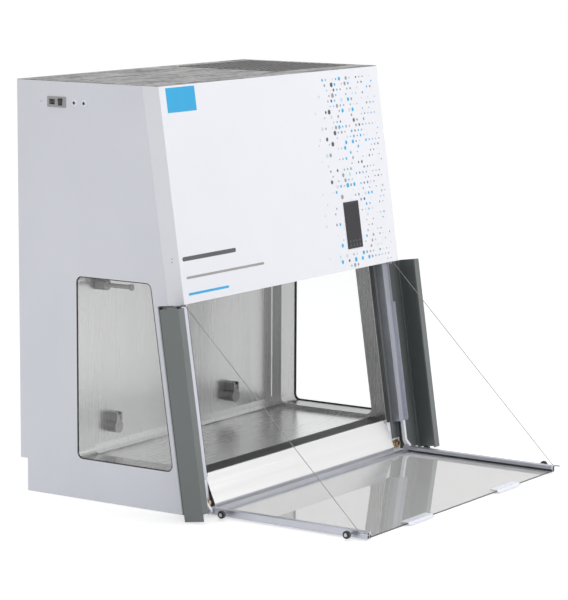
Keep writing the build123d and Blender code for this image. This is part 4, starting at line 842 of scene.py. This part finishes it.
def seen_rays(tree):
    """1 for rays that look at a thing: from the camera, in a reflection, or through glass."""
    path = tree.nodes.new("ShaderNodeLightPath")
    total = path.outputs["Is Camera Ray"]
    for label in ("Is Glossy Ray", "Is Transmission Ray"):
        total = maths(tree, "MAXIMUM", total, path.outputs[label])
    return total


FLOOR_GLOW = 0.47
floor_material = bpy.data.materials.new("floor_paper")
floor_material.use_nodes = True
tree = floor_material.node_tree
shader = tree.nodes["Principled BSDF"]
shader.inputs["Base Color"].default_value = (0.82, 0.82, 0.82, 1)
shader.inputs["Roughness"].default_value = 0.9
shader.inputs["Specular IOR Level"].default_value = 0.1
shader.inputs["Emission Color"].default_value = (1, 1, 1, 1)
fill(tree, shader.inputs["Emission Strength"], maths(tree, "MULTIPLY", seen_rays(tree), FLOOR_GLOW))
floor_mesh.materials.append(floor_material)
print("floor is", 2 * FLOOR_HALF, "m across")

# %% [markdown]
# ## Sky and lamps
#
# The sky does most of the lighting. A large lamp in front lifts the head and the apron, one above
# brightens the top and the floor, and a weak one low on the left lightens the side's lower half.

# %% Sky and lamps
SKY_LIGHT = 0.66
world = bpy.data.worlds.new("studio")
bpy.context.scene.world = world
world.use_nodes = True
tree = world.node_tree
background = tree.nodes["Background"]
background.inputs["Color"].default_value = (1, 1, 1, 1)
fill(tree, background.inputs["Strength"], remap(tree, seen_rays(tree), 0.0, 1.0, SKY_LIGHT, 1.0))

LAMPS = (
    ("front_lamp", (1.6, -4.6, 1.7), (0.0, -0.2, 0.8), 2.6, 66),
    ("overhead_lamp", (-0.6, -0.6, 4.2), (0.0, 0.0, 0.6), 2.8, 26),
    ("side_lamp", (-3.4, 0.6, 0.3), (-0.65, 0.0, 0.20), 1.6, 7),
)
for name, stand, aim, size, power in LAMPS:
    lamp_data = bpy.data.lights.new(name, "AREA")
    lamp_data.shape = "SQUARE"
    lamp_data.size = size
    lamp_data.energy = power
    lamp = bpy.data.objects.new(name, lamp_data)
    facing = (Vector(aim) - Vector(stand)).to_track_quat("-Z", "Y").to_matrix().to_4x4()
    lamp.matrix_world = Matrix.Translation(Vector(stand)) @ facing
    bpy.context.scene.collection.objects.link(lamp)
bpy.context.scene.view_settings.view_transform = "Standard"
print(len(LAMPS), "lamps and a white sky")
